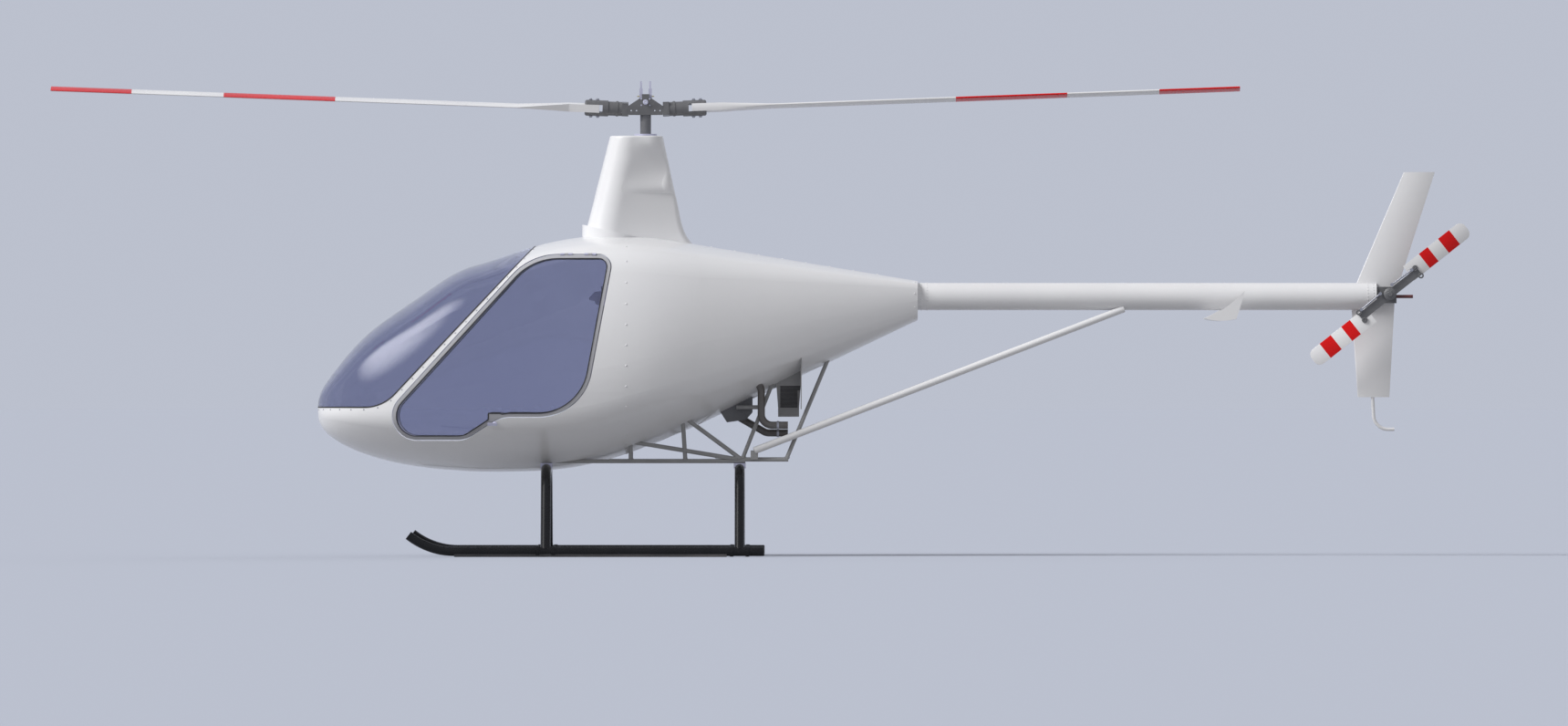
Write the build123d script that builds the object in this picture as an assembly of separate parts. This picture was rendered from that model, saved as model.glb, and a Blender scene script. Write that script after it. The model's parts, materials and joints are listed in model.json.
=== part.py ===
# Light two-seat helicopter on skids, in millimetres: X runs aft, Y to starboard, Z up, ground at z = 0.
# Stations are measured aft from the rotor mast; each piece is drawn about the mast and then moved so
# that the origin lies on the ground under the middle of the overall length.
import os
from math import cos, hypot, radians, sin, sqrt

from build123d import *

os.makedirs("parts", exist_ok=True)

# Main rotor
rotor_radius = 3260.0
blade_chord = 175.0
blade_thickness = 21.0
blade_pitch = 6.0
blade_coning = 2.1
blade_root = 254.0        # inner end of the blade
blade_root_width = 90.0
blade_root_height = 42.0
blade_root_bow = 3.5      # how far the root's front edge bows out
blade_root_end = 420.0    # where the plain root block starts to turn into the blade section
blade_section_start = 700.0
grip_z = 2445.0           # height of the blade grips' centre line at the mast
grip_start = 94.0
grip_flange_end = 129.0
grip_flange_height = 72.0
grip_flange_width = 84.0
grip_radius = 39.0
grip_fork_start = 205.0
grip_slot_start = 236.0
grip_end = 334.0
grip_fork_radius = 44.0
grip_end_round = 12.0
hub_half_length = 94.0
hub_bottom = 2417.0
hub_shoulder = 2467.0
hub_top = 2507.0
hub_top_half = 34.0
hub_plate = 12.0
hub_end_block = 30.0
hub_holes = (-79.0, -50.0, 50.0, 79.0)
hub_hole_z = 2441.0
hub_hole_radius = 4.0
hub_cap_half = 20.0
hub_cap_top = 2531.0
hub_cap_bottom = 2510.0
teeter_z = 2487.0
teeter_bolt_radius = 9.0
teeter_bolt_half = 58.0
teeter_bolt_bore = 4.5    # radius of the hole through the bolt
upright_inner = 16.0      # the two upright blades on the hub
upright_outer = 34.0
upright_depth = 22.0
upright_neck = 4.0        # how much the upper part steps in on each side
upright_bottom = 2505.0
upright_step = 2562.0
upright_top = 2602.0
mast_radius = 30.0
mast_bottom = 1500.0
mast_shoulder = 2440.0
mast_head_radius = 16.0
running_gap = 0.05        # radial play of a shaft in its hole
cheek_gap = 1.0           # play between the mast head and the hub plates
fit_gap = 0.3             # play between fixed pieces that pass through each other

# Body skin: the flat nose patch, then one row for each frame of the body
body_columns = ("station", "top", "bottom", "half_width", "widest")
body_rows = [
    (-1794.0, 846.0, 760.0, 60.0, 802.0),
    (-1779.0, 902.0, 717.0, 130.0, 805.0),
    (-1734.0, 974.0, 662.0, 235.0, 805.0),
    (-1619.0, 1120.0, 592.0, 370.0, 820.0),
    (-1439.0, 1284.0, 529.0, 480.0, 850.0),
    (-1199.0, 1450.0, 484.0, 562.0, 890.0),
    (-899.0, 1603.0, 462.0, 612.0, 940.0),
    (-599.0, 1699.0, 466.0, 625.0, 980.0),
    (-289.0, 1753.0, 507.0, 620.0, 1020.0),
    (61.0, 1742.0, 622.0, 577.0, 1100.0),
]
cone_rows = [             # straight tail cone behind the body, to the end that takes the boom
    (300.0, 1703.5, 724.0, 508.0, 1169.0),
    (1491.0, 1507.0, 1292.0, 115.0, 1400.0),
]
lead_shares = (0.0, 0.2, 0.45)   # places along the cone that lead the body loft out straight
cone_over = 0.02          # how far the hollow runs past each end of the cone, as a share of its length
roof_crown = 2.0          # roof radius over half width
belly_crown = 1.3         # belly radius over half width
side_bulge = 1.8          # side radius over height
corner_share = 0.45       # corner radius over the smaller of half width and height
cabin_wall = 20.0
cowl_wall = 8.0
glass_wall = 5.0
cabin_end = -119.0        # plane where cabin and engine cowls meet
bulkhead_thickness = 20.0
canopy_split = 900.0      # height where the tub and the canopy frame meet
reach = 3000.0            # half size of the cutting prisms

# Windshield and doors, as side-view outlines
sill_corner = (-1436.5, 815.0)
sill_corner_radius = 230.0
pillar_top = (-604.0, 1698.0)
door_columns = ("station", "height", "radius")
door_rows = [
    (-1554.0, 632.5, 135.0),
    (-986.5, 632.5, 125.0),
    (-793.0, 758.5, 200.0),
    (-336.5, 758.5, 300.0),
    (-169.0, 1654.0, 70.0),
    (-626.0, 1654.0, 340.0),
]
door_gap = 5.0
door_rim = 20.0
door_step = 12.0          # how far the deeper part of the rim stands back from its outer flange
latch_from, latch_to = -856.0, -786.0
latch_bottom, latch_top = 700.0, 783.0
hinge_stations = (-430.0, -300.0)
hinge_height = 1651.5
hinge_radius = 7.0
hinge_pin_radius = 3.0
hinge_leaf = 20.0         # length of each fixed knuckle
hinge_middle = 24.0       # length of the door's knuckle
hinge_play = 0.5
hinge_clear = 3.0

# Cabin fittings
floor_z = 540.0
floor_thickness = 12.0
floor_front = -1640.0
seat_inner, seat_outer = 45.0, 460.0
seat_front, seat_rear = -810.0, -180.0
seat_base_top = 698.0
cushion_top = 752.0
cushion_front, cushion_rear = -800.0, -320.0
cushion_round = 18.0
back_bottom_front = -312.0
back_top_front = -184.0
back_top = 1450.0
pod_front, pod_rear = -1660.0, -1545.0
pod_half_width = 150.0
pod_top = 790.0
pedal_rows = (-225.0, -145.0, 145.0, 225.0)
pedal_pad = (14.0, 70.0, 90.0)
pedal_z = 700.0
pedal_bar_radius = 9.0
pedal_bar_half = 250.0
bellcrank_thickness = 10.0
bellcrank_outline = [
    (-224.0, 1482.0), (-244.0, 1477.0), (-244.0, 1452.0), (-279.0, 1447.0), (-309.0, 1417.0),
    (-309.0, 1402.0), (-279.0, 1397.0), (-274.0, 1377.0), (-239.0, 1372.0),
]

# Mast fairing: horizontal teardrops from the roof to the cap
fairing_columns = ("z", "front", "rear", "front_radius", "rear_radius")
fairing_rows = [
    (1680.0, -343.0, 292.0, 142.0, 62.0),
    (1736.0, -335.0, 236.0, 138.0, 50.0),
    (1798.0, -322.0, 205.0, 132.0, 42.0),
    (1850.0, -309.0, 191.0, 128.0, 38.0),
    (1985.0, -275.0, 162.0, 121.0, 34.0),
    (2120.0, -241.0, 133.0, 114.0, 33.0),
    (2195.0, -222.0, 117.0, 112.0, 54.0),
    (2262.0, -205.0, 103.0, 111.0, 97.0),
    (2292.0, -197.3, 96.8, 110.2, 96.0),
    (2345.0, -184.0, 86.0, 110.0, 95.0),
]
fairing_straight = (1850.0, 2120.0)   # the tower is straight between these heights
fairing_seam = 1985.0     # height where the lower and the upper loft of the tower join
fairing_rim = 2292.0      # height where the sides end and the rounded edge of the cap starts
fairing_round = 11.0
crown_angles = (0, 30, 60, 90)
fairing_wall = 8.0
plinth_front, plinth_rear = -347.5, 60.0
plinth_front_radius, plinth_rear_radius = 170.0, 90.0
plinth_front_top = 1816.0
plinth_fade = (-39.0, 1748.0)
collar_radius = 48.0
collar_flange_radius = 62.0
collar_flange = 10.0
collar_depth = 40.0
mast_hole_radius = 60.0

# Power unit
gearbox_rear, gearbox_half_width = 130.0, 110.0
gearbox_bottom, gearbox_top = 1350.0, 1600.0
engine_rear, engine_half_width = 450.0, 250.0
engine_bottom, engine_top = 905.0, 1330.0
sump_half_width = 120.0
sump_outline = [
    (130.0, 905.0), (130.0, 800.0), (411.0, 787.0), (446.0, 732.0), (551.0, 747.0), (586.0, 787.0),
    (586.0, 905.0),
]
exhaust_radius = 20.0
exhaust_bore_radius = 17.0
exhaust_bend = 60.0
exhaust_mouth = 80.0     # depth of the bore in each end
exhaust_end = 780.0
exhaust_port = [(430.0, -228.0, 960.0), (634.0, -228.0, 960.0), (634.0, -228.0, 717.0)]
exhaust_starboard = [(395.0, 160.0, 960.0), (430.0, 160.0, 806.0), (661.0, 160.0, 674.0)]
cooler_front, cooler_rear = 717.0, 850.0
cooler_half_width = 150.0
cooler_top = 1120.0
hopper_top, hopper_bottom = 933.0, 813.0
outlet_front, outlet_rear = 726.0, 841.0
outlet_half_width = 80.0
outlet_bottom = 763.0
plate_thickness = 5.0
plate_half_width = 270.0
plate_bottom, plate_top = 805.0, 1230.0

# Frame truss: port members, mirrored to starboard, then the members across
tube_radius = 11.0
longeron_y = 235.0
longeron_z = 520.0
aft_longeron_z = 529.0
truss_columns = ("from_station", "from_y", "from_z", "to_station", "to_y", "to_z")
truss_rows = [
    (-610.0, -longeron_y, longeron_z, 546.0, -longeron_y, longeron_z),
    (520.0, -longeron_y, aft_longeron_z, 782.0, -longeron_y, aft_longeron_z),
    (-103.0, -longeron_y, 630.0, 521.0, -longeron_y, 527.0),
    (208.0, -longeron_y, 763.0, 521.0, -longeron_y, 532.0),
    (-81.0, -longeron_y, 650.0, -81.0, -longeron_y, longeron_z),
    (203.0, -longeron_y, 760.0, 218.0, -longeron_y, longeron_z),
    (700.0, -150.0, 960.0, 531.0, -longeron_y, 532.0),
    (1013.0, -70.0, 1110.0, 771.0, -longeron_y, aft_longeron_z),
    (640.0, -178.0, 815.0, 500.0, -140.0, 815.0),
]
cross_stations = [(-81.0, longeron_z), (218.0, longeron_z), (521.0, longeron_z), (771.0, aft_longeron_z)]

# Landing gear
skid_y = 800.0
skid_radius = 25.0
skid_rear = 646.0
toe_start = -1039.0
toe_bend = 400.0
toe_angle = 37.0
toe_straight = 12.0
shoe_height = 5.0
shoe_width = 40.0
shoe_rear = 446.0
leg_stations = (-542.0, 516.0)
leg_radius = 27.0
leg_bend_y = 500.0
leg_bend = 220.0
clamp_wall = 5.0
clamp_width = 44.0
clamp_drop = 24.0

# Tail
boom_radius = 75.0
boom_wall = 4.0
boom_z = 1422.0
boom_front, boom_end = 1250.0, 4006.0
ring_depth = 30.0
strut_radius = 19.0
strut_foot = (596.0, 268.0, 577.0)
strut_head = (2621.0, 38.0, 1354.0)
strut_lug = 10.0
strut_lug_length = 40.0
tailplane_front, tailplane_rear = 3062.0, 3236.0
tailplane_z = 1299.0
tailplane_rise, tailplane_sag = 4.0, 11.0
tailplane_half_span = 450.0
end_plate = 6.0
end_plate_tip = (3276.0, 1453.0)
end_plate_front = (3059.0, 1300.0)
end_plate_rear = (3231.0, 1299.0)
end_plate_lead = (3185.5, 1371.5)
end_plate_belly = (3160.0, 1288.0)
end_plate_trail = (3252.0, 1364.0)
saddle_front, saddle_rear = 3151.0, 3226.0
saddle_half_width = 30.0
saddle_top = 1375.0
fin_columns = ("z", "front", "rear", "thickness")
upper_fin_rows = [(1422.0, 3865.0, 4107.0, 28.0), (2104.0, 4156.0, 4326.0, 18.0)]
lower_fin_rows = [(1422.0, 3865.0, 4107.0, 28.0), (870.0, 3903.0, 4077.0, 21.0)]
stinger_radius = 9.5
stinger_path = [(3985.0, 870.0), (3994.0, 694.0), (4104.0, 694.0)]
stinger_bend = 80.0
tail_box_rear = 4115.0
tail_box_half_width = 45.0
tail_box_bottom, tail_box_top = 1385.0, 1475.0
tail_boss_radius = 28.0
tail_boss_end = 88.0
shaft_end_radius = 9.5
shaft_end_rear = 4206.0

# Tail rotor
tail_hub = (4076.0, 1435.0)
tail_rotor_y = 150.0
tail_rotor_radius = 555.0
tail_rest_angle = 38.3
tail_chord = 100.0
tail_blade_thickness = 12.0
tail_blade_start = 150.0
tail_tip_round = 38.0
tail_pitch = 8.0
tail_shaft_radius = 12.0
tail_shaft_depth = 50.0
tail_hub_radius = 30.0
tail_hub_depth = 36.0
tail_arm_width = 44.0
tail_arm_depth = 22.0
tail_arm_end = 205.0

tail_reach = tail_hub[0] + tail_rotor_radius * cos(radians(tail_rest_angle))
mast_x = (rotor_radius - tail_reach) / 2


def named(columns, rows):
    return [dict(zip(columns, row)) for row in rows]


def block(x0, x1, y0, y1, z0, z1):
    return Pos((x0 + x1) / 2, (y0 + y1) / 2, (z0 + z1) / 2) * Box(x1 - x0, y1 - y0, z1 - z0)


def rod(start, end, radius):
    along = Vector(*end) - Vector(*start)
    return extrude(Plane(origin=start, z_dir=along) * Circle(radius), amount=along.length)


def bent_tube(points, radius, bend):
    path = FilletPolyline(*points, radius=bend)
    return sweep(Plane(origin=path @ 0, z_dir=path % 0) * Circle(radius), path)


def prism(face, near, far):
    # side-view face pushed out from y = near to y = far
    return extrude(Pos(0, near, 0) * face, amount=far - near, dir=(0, 1, 0))


def side_polygon(points):
    return make_face(Plane.XZ * Polyline(*points, close=True))


def port_and_starboard(shape):
    return shape, mirror(shape, about=Plane.XZ)


def save(name, *shapes):
    solids = [solid.moved(Location((mast_x, 0, 0))) for shape in shapes for solid in shape.solids()]
    export_step(solids[0] if len(solids) == 1 else Compound(children=solids), f"parts/{name}.step")


def airfoil(front, rear, thickness):
    # symmetric section in the XY plane: nose arc, two long arcs, blunt trailing edge
    chord = rear - front
    nose, nose_half = front + 0.03 * chord, 0.236 * thickness
    crest, crest_half = front + 0.3 * chord, 0.5 * thickness
    edge_half = 0.06 * thickness
    return make_face([
        ThreePointArc((nose, -nose_half), (front, 0), (nose, nose_half)),
        ThreePointArc((nose, nose_half), (crest, crest_half), (rear, edge_half)),
        Line((rear, edge_half), (rear, -edge_half)),
        ThreePointArc((rear, -edge_half), (crest, -crest_half), (nose, -nose_half)),
    ])


def teardrop(front, rear, front_radius, rear_radius):
    # two circles on the X axis joined by their outer tangents
    a, b = front + front_radius, rear - rear_radius
    lean = (front_radius - rear_radius) / (b - a)
    rise = sqrt(1 - lean * lean)
    p = (a + front_radius * lean, front_radius * rise)
    q = (b + rear_radius * lean, rear_radius * rise)
    return make_face([
        ThreePointArc((p[0], -p[1]), (front, 0), p),
        Line(p, q),
        ThreePointArc(q, (rear, 0), (q[0], -q[1])),
        Line((q[0], -q[1]), (p[0], -p[1])),
    ])


def quarter(half_width, height, crown):
    # side arc, corner arc and crown arc that meet in tangents; points are (out, up) from the widest point
    crown_radius, side_radius = crown * half_width, side_bulge * height
    corner = corner_share * min(half_width, height)
    side_x, crown_y = half_width - side_radius, height - crown_radius
    side_gap, crown_gap = side_radius - corner, crown_radius - corner
    apart = hypot(side_x, crown_y)
    along = (side_gap ** 2 - crown_gap ** 2 + apart ** 2) / (2 * apart)
    off = sqrt(side_gap ** 2 - along ** 2)
    ux, uy = -side_x / apart, crown_y / apart
    cx, cy = side_x + along * ux - off * uy, along * uy + off * ux

    def on(centre_x, centre_y, radius, x, y):
        length = hypot(x - centre_x, y - centre_y)
        return centre_x + radius * (x - centre_x) / length, centre_y + radius * (y - centre_y) / length

    side_end = on(side_x, 0, side_radius, cx, cy)
    crown_start = on(0, crown_y, crown_radius, cx, cy)
    side_middle = on(side_x, 0, side_radius, (half_width + side_end[0]) / 2, side_end[1] / 2)
    half_way = ((side_end[0] + crown_start[0]) / 2, (side_end[1] + crown_start[1]) / 2)
    corner_middle = on(cx, cy, corner, *half_way)
    return side_middle, side_end, corner_middle, crown_start


def body_section(station, top, bottom, half_width, widest):
    upper = quarter(half_width, top - widest, roof_crown)
    lower = quarter(half_width, widest - bottom, belly_crown)

    def at(point, side, lift):
        return station, side * point[0], widest + lift * point[1]

    def bend(side, lift, points):
        return ThreePointArc(*[at(point, side, lift) for point in points])

    out = (half_width, 0)
    up_middle, up_end, up_corner, up_crown = upper
    low_middle, low_end, low_corner, low_crown = lower
    edges = [ThreePointArc(at(up_crown, -1, 1), (station, 0, top), at(up_crown, 1, 1))]
    edges += [bend(1, 1, (up_crown, up_corner, up_end)), bend(1, 1, (up_end, up_middle, out))]
    edges += [bend(1, -1, (out, low_middle, low_end)), bend(1, -1, (low_end, low_corner, low_crown))]
    edges += [ThreePointArc(at(low_crown, 1, -1), (station, 0, bottom), at(low_crown, -1, -1))]
    edges += [bend(-1, -1, (low_crown, low_corner, low_end)), bend(-1, -1, (low_end, low_middle, out))]
    edges += [bend(-1, 1, (out, up_middle, up_end)), bend(-1, 1, (up_end, up_corner, up_crown))]
    return make_face(edges)


def cone_row(share):
    start, end = cone_rows
    return tuple(a + share * (b - a) for a, b in zip(start, end))


def body_loft(inset):
    # the body's own rows and the first part of the cone, each moved square to its skin by the inset
    rows = named(body_columns, body_rows + [cone_row(share) for share in lead_shares])
    sizes = [(row["top"] - row["bottom"]) / 4 + row["half_width"] / 2 for row in rows]
    sections = []
    for i, row in enumerate(rows):
        a, b = max(i - 1, 0), min(i + 1, len(rows) - 1)
        run, grow = rows[b]["station"] - rows[a]["station"], sizes[b] - sizes[a]
        shrink = inset * run / hypot(run, grow)
        shift = inset * grow / hypot(run, grow)
        if a == i or b == i:
            shift = inset
        sections.append(body_section(row["station"] + shift, row["top"] - shrink, row["bottom"] + shrink,
                                     row["half_width"] - shrink, row["widest"]))
    return loft(sections)


def cone_loft(inset, over):
    # straight lines from the end of the body to the boom
    first, last = named(body_columns, cone_rows)
    shrunk = (first["top"] - first["bottom"] - last["top"] + last["bottom"]) / 4
    shrunk += (first["half_width"] - last["half_width"]) / 2
    run = last["station"] - first["station"]
    shrink = inset * hypot(run, shrunk) / run
    sections = []
    for station, top, bottom, half_width, widest in (cone_row(-over), cone_row(1 + over)):
        sections.append(body_section(station, top - shrink, bottom + shrink, half_width - shrink, widest))
    return loft(sections, ruled=True)


outer = body_loft(0.0)
cabin_inside = body_loft(cabin_wall)
cowl_inside = body_loft(cowl_wall)
glass_inside = body_loft(glass_wall)
cone = cone_loft(0.0, 0.0)
cone_inside = cone_loft(cowl_wall, cone_over)


def skin_width(station, height):
    # half width of the body at one point of the side view
    across = Edge.make_line((station, 0, height), (station, -reach, height))
    return outer.intersect(across).edges()[0].length


def frame_truss(gap):
    members = []
    for row in named(truss_columns, truss_rows):
        start = (row["from_station"], row["from_y"], row["from_z"])
        end = (row["to_station"], row["to_y"], row["to_z"])
        members.extend(port_and_starboard(rod(start, end, tube_radius + gap)))
    for station, height in cross_stations:
        members.append(rod((station, -longeron_y, height), (station, longeron_y, height), tube_radius + gap))
    return members


def cross_tube(station, gap):
    skid_centre = shoe_height + skid_radius
    height = longeron_z - tube_radius - clamp_wall - leg_radius - fit_gap
    points = [(station, -skid_y, skid_centre), (station, -leg_bend_y, height),
              (station, leg_bend_y, height), (station, skid_y, skid_centre)]
    return bent_tube(points, leg_radius + gap, leg_bend)


def clamp_box(station, side, gap):
    half = leg_radius + fit_gap + clamp_wall + gap
    top = longeron_z - tube_radius
    return block(station - half, station + half, side * longeron_y - clamp_width / 2 - gap,
                 side * longeron_y + clamp_width / 2 + gap, top - clamp_wall - clamp_drop - gap, top + gap)


def exhaust(points, radius):
    tail = (exhaust_end, points[-1][1], points[-1][2])
    return bent_tube(points + [tail], radius, exhaust_bend)


def cooler(gap):
    def layer(front, rear, half_width, z):
        return Pos((front + rear) / 2, 0, z) * Rectangle(rear - front + 2 * gap, 2 * (half_width + gap))

    wide = layer(cooler_front, cooler_rear, cooler_half_width, hopper_top)
    narrow = layer(outlet_front, outlet_rear, outlet_half_width, hopper_bottom)
    box = block(cooler_front - gap, cooler_rear + gap, -cooler_half_width - gap, cooler_half_width + gap,
                hopper_top, cooler_top + gap)
    outlet = block(outlet_front - gap, outlet_rear + gap, -outlet_half_width - gap, outlet_half_width + gap,
                   outlet_bottom - gap, hopper_bottom)
    return box + loft([wide, narrow]) + outlet


def cooler_plate(gap):
    return block(cooler_rear - gap, cooler_rear + plate_thickness + gap, -plate_half_width - gap,
                 plate_half_width + gap, plate_bottom - gap, plate_top + gap)


def sump(gap):
    face = side_polygon(sump_outline)
    half = sump_half_width + gap
    return prism(offset(face, amount=gap, kind=Kind.INTERSECTION) if gap else face, -half, half)


def make_body():
    tools = frame_truss(fit_gap)
    tools += [cross_tube(leg_stations[0], fit_gap)]
    tools += [clamp_box(leg_stations[0], side, fit_gap) for side in (-1, 1)]
    cowl_tools = [sump(fit_gap), cooler(fit_gap), cooler_plate(fit_gap),
                  Pos(0, 0, gearbox_top) * Cylinder(mast_hole_radius, reach / 2)]

    ahead = block(-reach, cabin_end, -reach, reach, -reach, reach)
    cone_start, cone_end = cone_rows[0][0], cone_rows[-1][0]
    behind = block(cabin_end, cone_start, -reach, 0, -reach, reach)
    port = block(cone_start, cone_end, -reach, 0, -reach, reach)
    low = block(-reach, reach, -reach, reach, -reach, canopy_split)
    rise = (pillar_top[1] - sill_corner[1]) / (pillar_top[0] - sill_corner[0])
    far_up = (sill_corner[0] + (reach - sill_corner[1]) / rise, reach)
    outline = FilletPolyline((-reach, sill_corner[1]), sill_corner, far_up, radius=sill_corner_radius)
    screen = make_face(Plane.XZ * (outline + Polyline(far_up, (-reach, reach), (-reach, sill_corner[1]))))
    screen_prism = prism(screen, -reach, reach)

    door_points = named(door_columns, door_rows)
    corners = [(p["station"], p["height"]) for p in door_points]
    rounds = [p["radius"] for p in door_points]
    opening = make_face(Plane.XZ * FilletPolyline(*corners, radius=rounds, close=True))
    door = offset(opening, amount=-door_gap)
    latch = side_polygon([(latch_from, latch_bottom), (latch_to, latch_bottom), (latch_to, latch_top),
                          (latch_from, latch_top)])
    pane = offset(door, amount=-door_rim) - latch

    a, b = [Vector(station, -skin_width(station, hinge_height), hinge_height) for station in hinge_stations]
    along = (b - a).normalized()
    print("door hinge axis", [round(v, 3) for v in (a.X + mast_x, a.Y, a.Z)], [round(v, 6) for v in along])

    def spans(radius, extra):
        fixed, moving = [], []
        for point in (a, b):
            half = hinge_middle / 2
            moving.append(rod(point - along * (half + extra), point + along * (half + extra), radius))
            for side in (-1, 1):
                near = point + along * (side * (half + hinge_play - extra))
                far = point + along * (side * (half + hinge_play + hinge_leaf + extra))
                fixed.append(rod(near, far, radius))
        return fixed, moving

    fixed_knuckles, door_knuckles = spans(hinge_radius, 0.0)
    fixed_room, door_room = spans(hinge_radius + hinge_clear, hinge_clear)
    half_hinge = hinge_middle / 2 + hinge_play + hinge_leaf
    pin_ends = [(p - along * half_hinge, p + along * half_hinge) for p in (a, b)]
    pins = [rod(*ends, hinge_pin_radius) for ends in pin_ends]
    pin_holes = [rod(*ends, hinge_pin_radius + running_gap) for ends in pin_ends]

    skin = (outer - cabin_inside) & ahead
    skin = skin - screen_prism
    for side_opening in port_and_starboard(prism(opening, -reach, 0)):
        skin = skin - side_opening
    for tool in tools:
        skin = skin - tool
    tub = skin & low
    canopy = skin - low
    for tool in fixed_knuckles + door_room:
        for one in port_and_starboard(tool):
            canopy = canopy - one
    save("nose_tub", tub)
    save("canopy_frame", canopy)

    glass = (outer - glass_inside) & ahead
    save("windshield", glass & screen_prism)
    pane_prism = prism(pane, -reach, 0)
    flange = glass & prism(door, -reach, 0)
    rib = (glass_inside - cabin_inside) & ahead & prism(offset(door, amount=-door_step), -reach, 0)
    rim = (flange + rib) - pane_prism
    for tool in door_knuckles:
        rim = rim + tool
    for tool in pin_holes + fixed_room:
        rim = rim - tool
    for side, piece in zip(("left", "right"), port_and_starboard(rim)):
        save(f"door_rim_{side}", piece)
    for side, piece in zip(("left", "right"), port_and_starboard(glass & pane_prism)):
        save(f"door_glass_{side}", piece)
    hinges = [pin + fixed_knuckles[2 * i] + fixed_knuckles[2 * i + 1] for i, pin in enumerate(pins)]
    save("door_hinges", *hinges, *[mirror(hinge, about=Plane.XZ) for hinge in hinges])

    cowl = ((outer - cowl_inside) & behind) + ((cone - cone_inside) & port)
    for tool in tools + cowl_tools:
        cowl = cowl - tool
    pipes = (exhaust_port, exhaust_starboard)
    for side, piece, points in zip(("left", "right"), port_and_starboard(cowl), pipes):
        save(f"cowl_{side}", piece - exhaust(points, exhaust_radius + fit_gap))

    bulkhead = cabin_inside & block(cabin_end - bulkhead_thickness, cabin_end, -reach, reach, -reach, reach)
    floor = cabin_inside & block(floor_front, cabin_end - bulkhead_thickness, -reach, reach, floor_z,
                                 floor_z + floor_thickness)
    save("bulkhead", bulkhead)
    save("cabin_floor", floor)
    ring = cone_inside & block(cone_end - ring_depth, cone_end, -reach, reach, -reach, reach)
    save("boom_ring", ring - rod((0, 0, boom_z), (reach, 0, boom_z), boom_radius + fit_gap))


def make_cabin():
    deck = floor_z + floor_thickness
    wall = cabin_end - bulkhead_thickness
    base = block(seat_front, seat_rear, -seat_outer, -seat_inner, deck, seat_base_top) & cabin_inside
    save("seat_bases", *port_and_starboard(base))
    cushion = block(cushion_front, cushion_rear, -seat_outer, -seat_inner, seat_base_top, cushion_top)
    cushion = fillet(cushion.edges().group_by(Axis.Z)[-1], cushion_round)
    save("seat_cushions", *port_and_starboard(cushion))
    back = prism(side_polygon([(back_bottom_front, cushion_top), (back_top_front, back_top), (wall, back_top),
                               (wall, cushion_top)]), -seat_outer, -seat_inner)
    back = fillet(back.faces().sort_by(Axis.X)[0].edges(), cushion_round)
    save("seat_backs", *port_and_starboard(back))
    pod = block(pod_front, pod_rear, -pod_half_width, pod_half_width, deck, pod_top) & cabin_inside
    save("instrument_pod", pod)
    bar_station = pod_rear + pedal_bar_radius + fit_gap
    bar_port, bar_starboard = (bar_station, -pedal_bar_half, pedal_z), (bar_station, pedal_bar_half, pedal_z)
    pedals = rod(bar_port, bar_starboard, pedal_bar_radius)
    for y in pedal_rows:
        pedals = pedals + Pos(bar_station + pedal_bar_radius, y, pedal_z) * Box(*pedal_pad)
    save("pedals", pedals)
    arm = bellcrank_outline + [(wall, bellcrank_outline[-1][1]), (wall, bellcrank_outline[0][1])]
    save("control_bellcrank", prism(side_polygon(arm), -bellcrank_thickness / 2, bellcrank_thickness / 2))


def make_fairing():
    rows = named(fairing_columns, fairing_rows)

    def layer(row, inset):
        return Pos(0, 0, row["z"]) * teardrop(row["front"] + inset, row["rear"] - inset,
                                              row["front_radius"] - inset, row["rear_radius"] - inset)

    def tower(inset):
        # both lofts run through the straight part, so they join there without a kink
        low, high = fairing_straight
        lower = loft([layer(row, inset) for row in rows if row["z"] <= high])
        upper = loft([layer(row, inset) for row in rows if row["z"] >= low])
        lower = lower & block(-reach, reach, -reach, reach, -reach, fairing_seam)
        upper = upper & block(-reach, reach, -reach, reach, fairing_seam, fairing_rim)
        return lower + upper

    def crown_layer(angle):
        rim = next(row for row in rows if row["z"] == fairing_rim)
        lift, inset = fairing_round * sin(radians(angle)), fairing_round * (1 - cos(radians(angle)))
        return Pos(0, 0, lift) * layer(rim, inset)

    base = rows[0]["z"]
    plan = Pos(0, 0, base) * teardrop(plinth_front, plinth_rear, plinth_front_radius, plinth_rear_radius)
    plinth = extrude(plan, amount=plinth_front_top - base)
    slope = side_polygon([(plinth_front, plinth_front_top), plinth_fade, (reach, plinth_fade[1]),
                          (reach, reach), (plinth_front, reach)])
    plinth = plinth - prism(slope, -reach, reach)
    top = fairing_rim + fairing_round
    skin = tower(0.0) + loft([crown_layer(angle) for angle in crown_angles], ruled=True)
    hole = Pos(0, 0, top) * Cylinder(collar_radius + fit_gap, 2 * collar_depth)
    save("mast_fairing", (skin + plinth) - tower(fairing_wall) - outer - hole)
    collar = Pos(0, 0, top - collar_depth / 2) * Cylinder(collar_radius, collar_depth)
    collar = collar + Pos(0, 0, top + collar_flange / 2) * Cylinder(collar_flange_radius, collar_flange)
    save("mast_collar", collar - Pos(0, 0, top) * Cylinder(mast_radius + running_gap, 4 * collar_depth))


def make_power_unit():
    box = block(cabin_end, gearbox_rear, -gearbox_half_width, gearbox_half_width, gearbox_bottom, gearbox_top)
    bore = Pos(0, 0, (mast_bottom + gearbox_top) / 2) * Cylinder(
        mast_radius + running_gap, gearbox_top - mast_bottom)
    save("main_gearbox", box - bore)
    engine = block(cabin_end, engine_rear, -engine_half_width, engine_half_width, engine_bottom, engine_top)
    engine = engine + sump(0.0)
    pipes = []
    for points in (exhaust_port, exhaust_starboard):
        engine = engine - exhaust(points, exhaust_radius + fit_gap)
        end = (exhaust_end, points[-1][1], points[-1][2])
        mouth = (exhaust_end - exhaust_mouth, points[-1][1], points[-1][2])
        pipes.append(exhaust(points, exhaust_radius) - rod(mouth, end, exhaust_bore_radius))
    save("engine_block", engine)
    save("exhaust_pipes", *pipes)
    save("oil_cooler", cooler(0.0))
    save("cooler_plate", cooler_plate(0.0))


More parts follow.
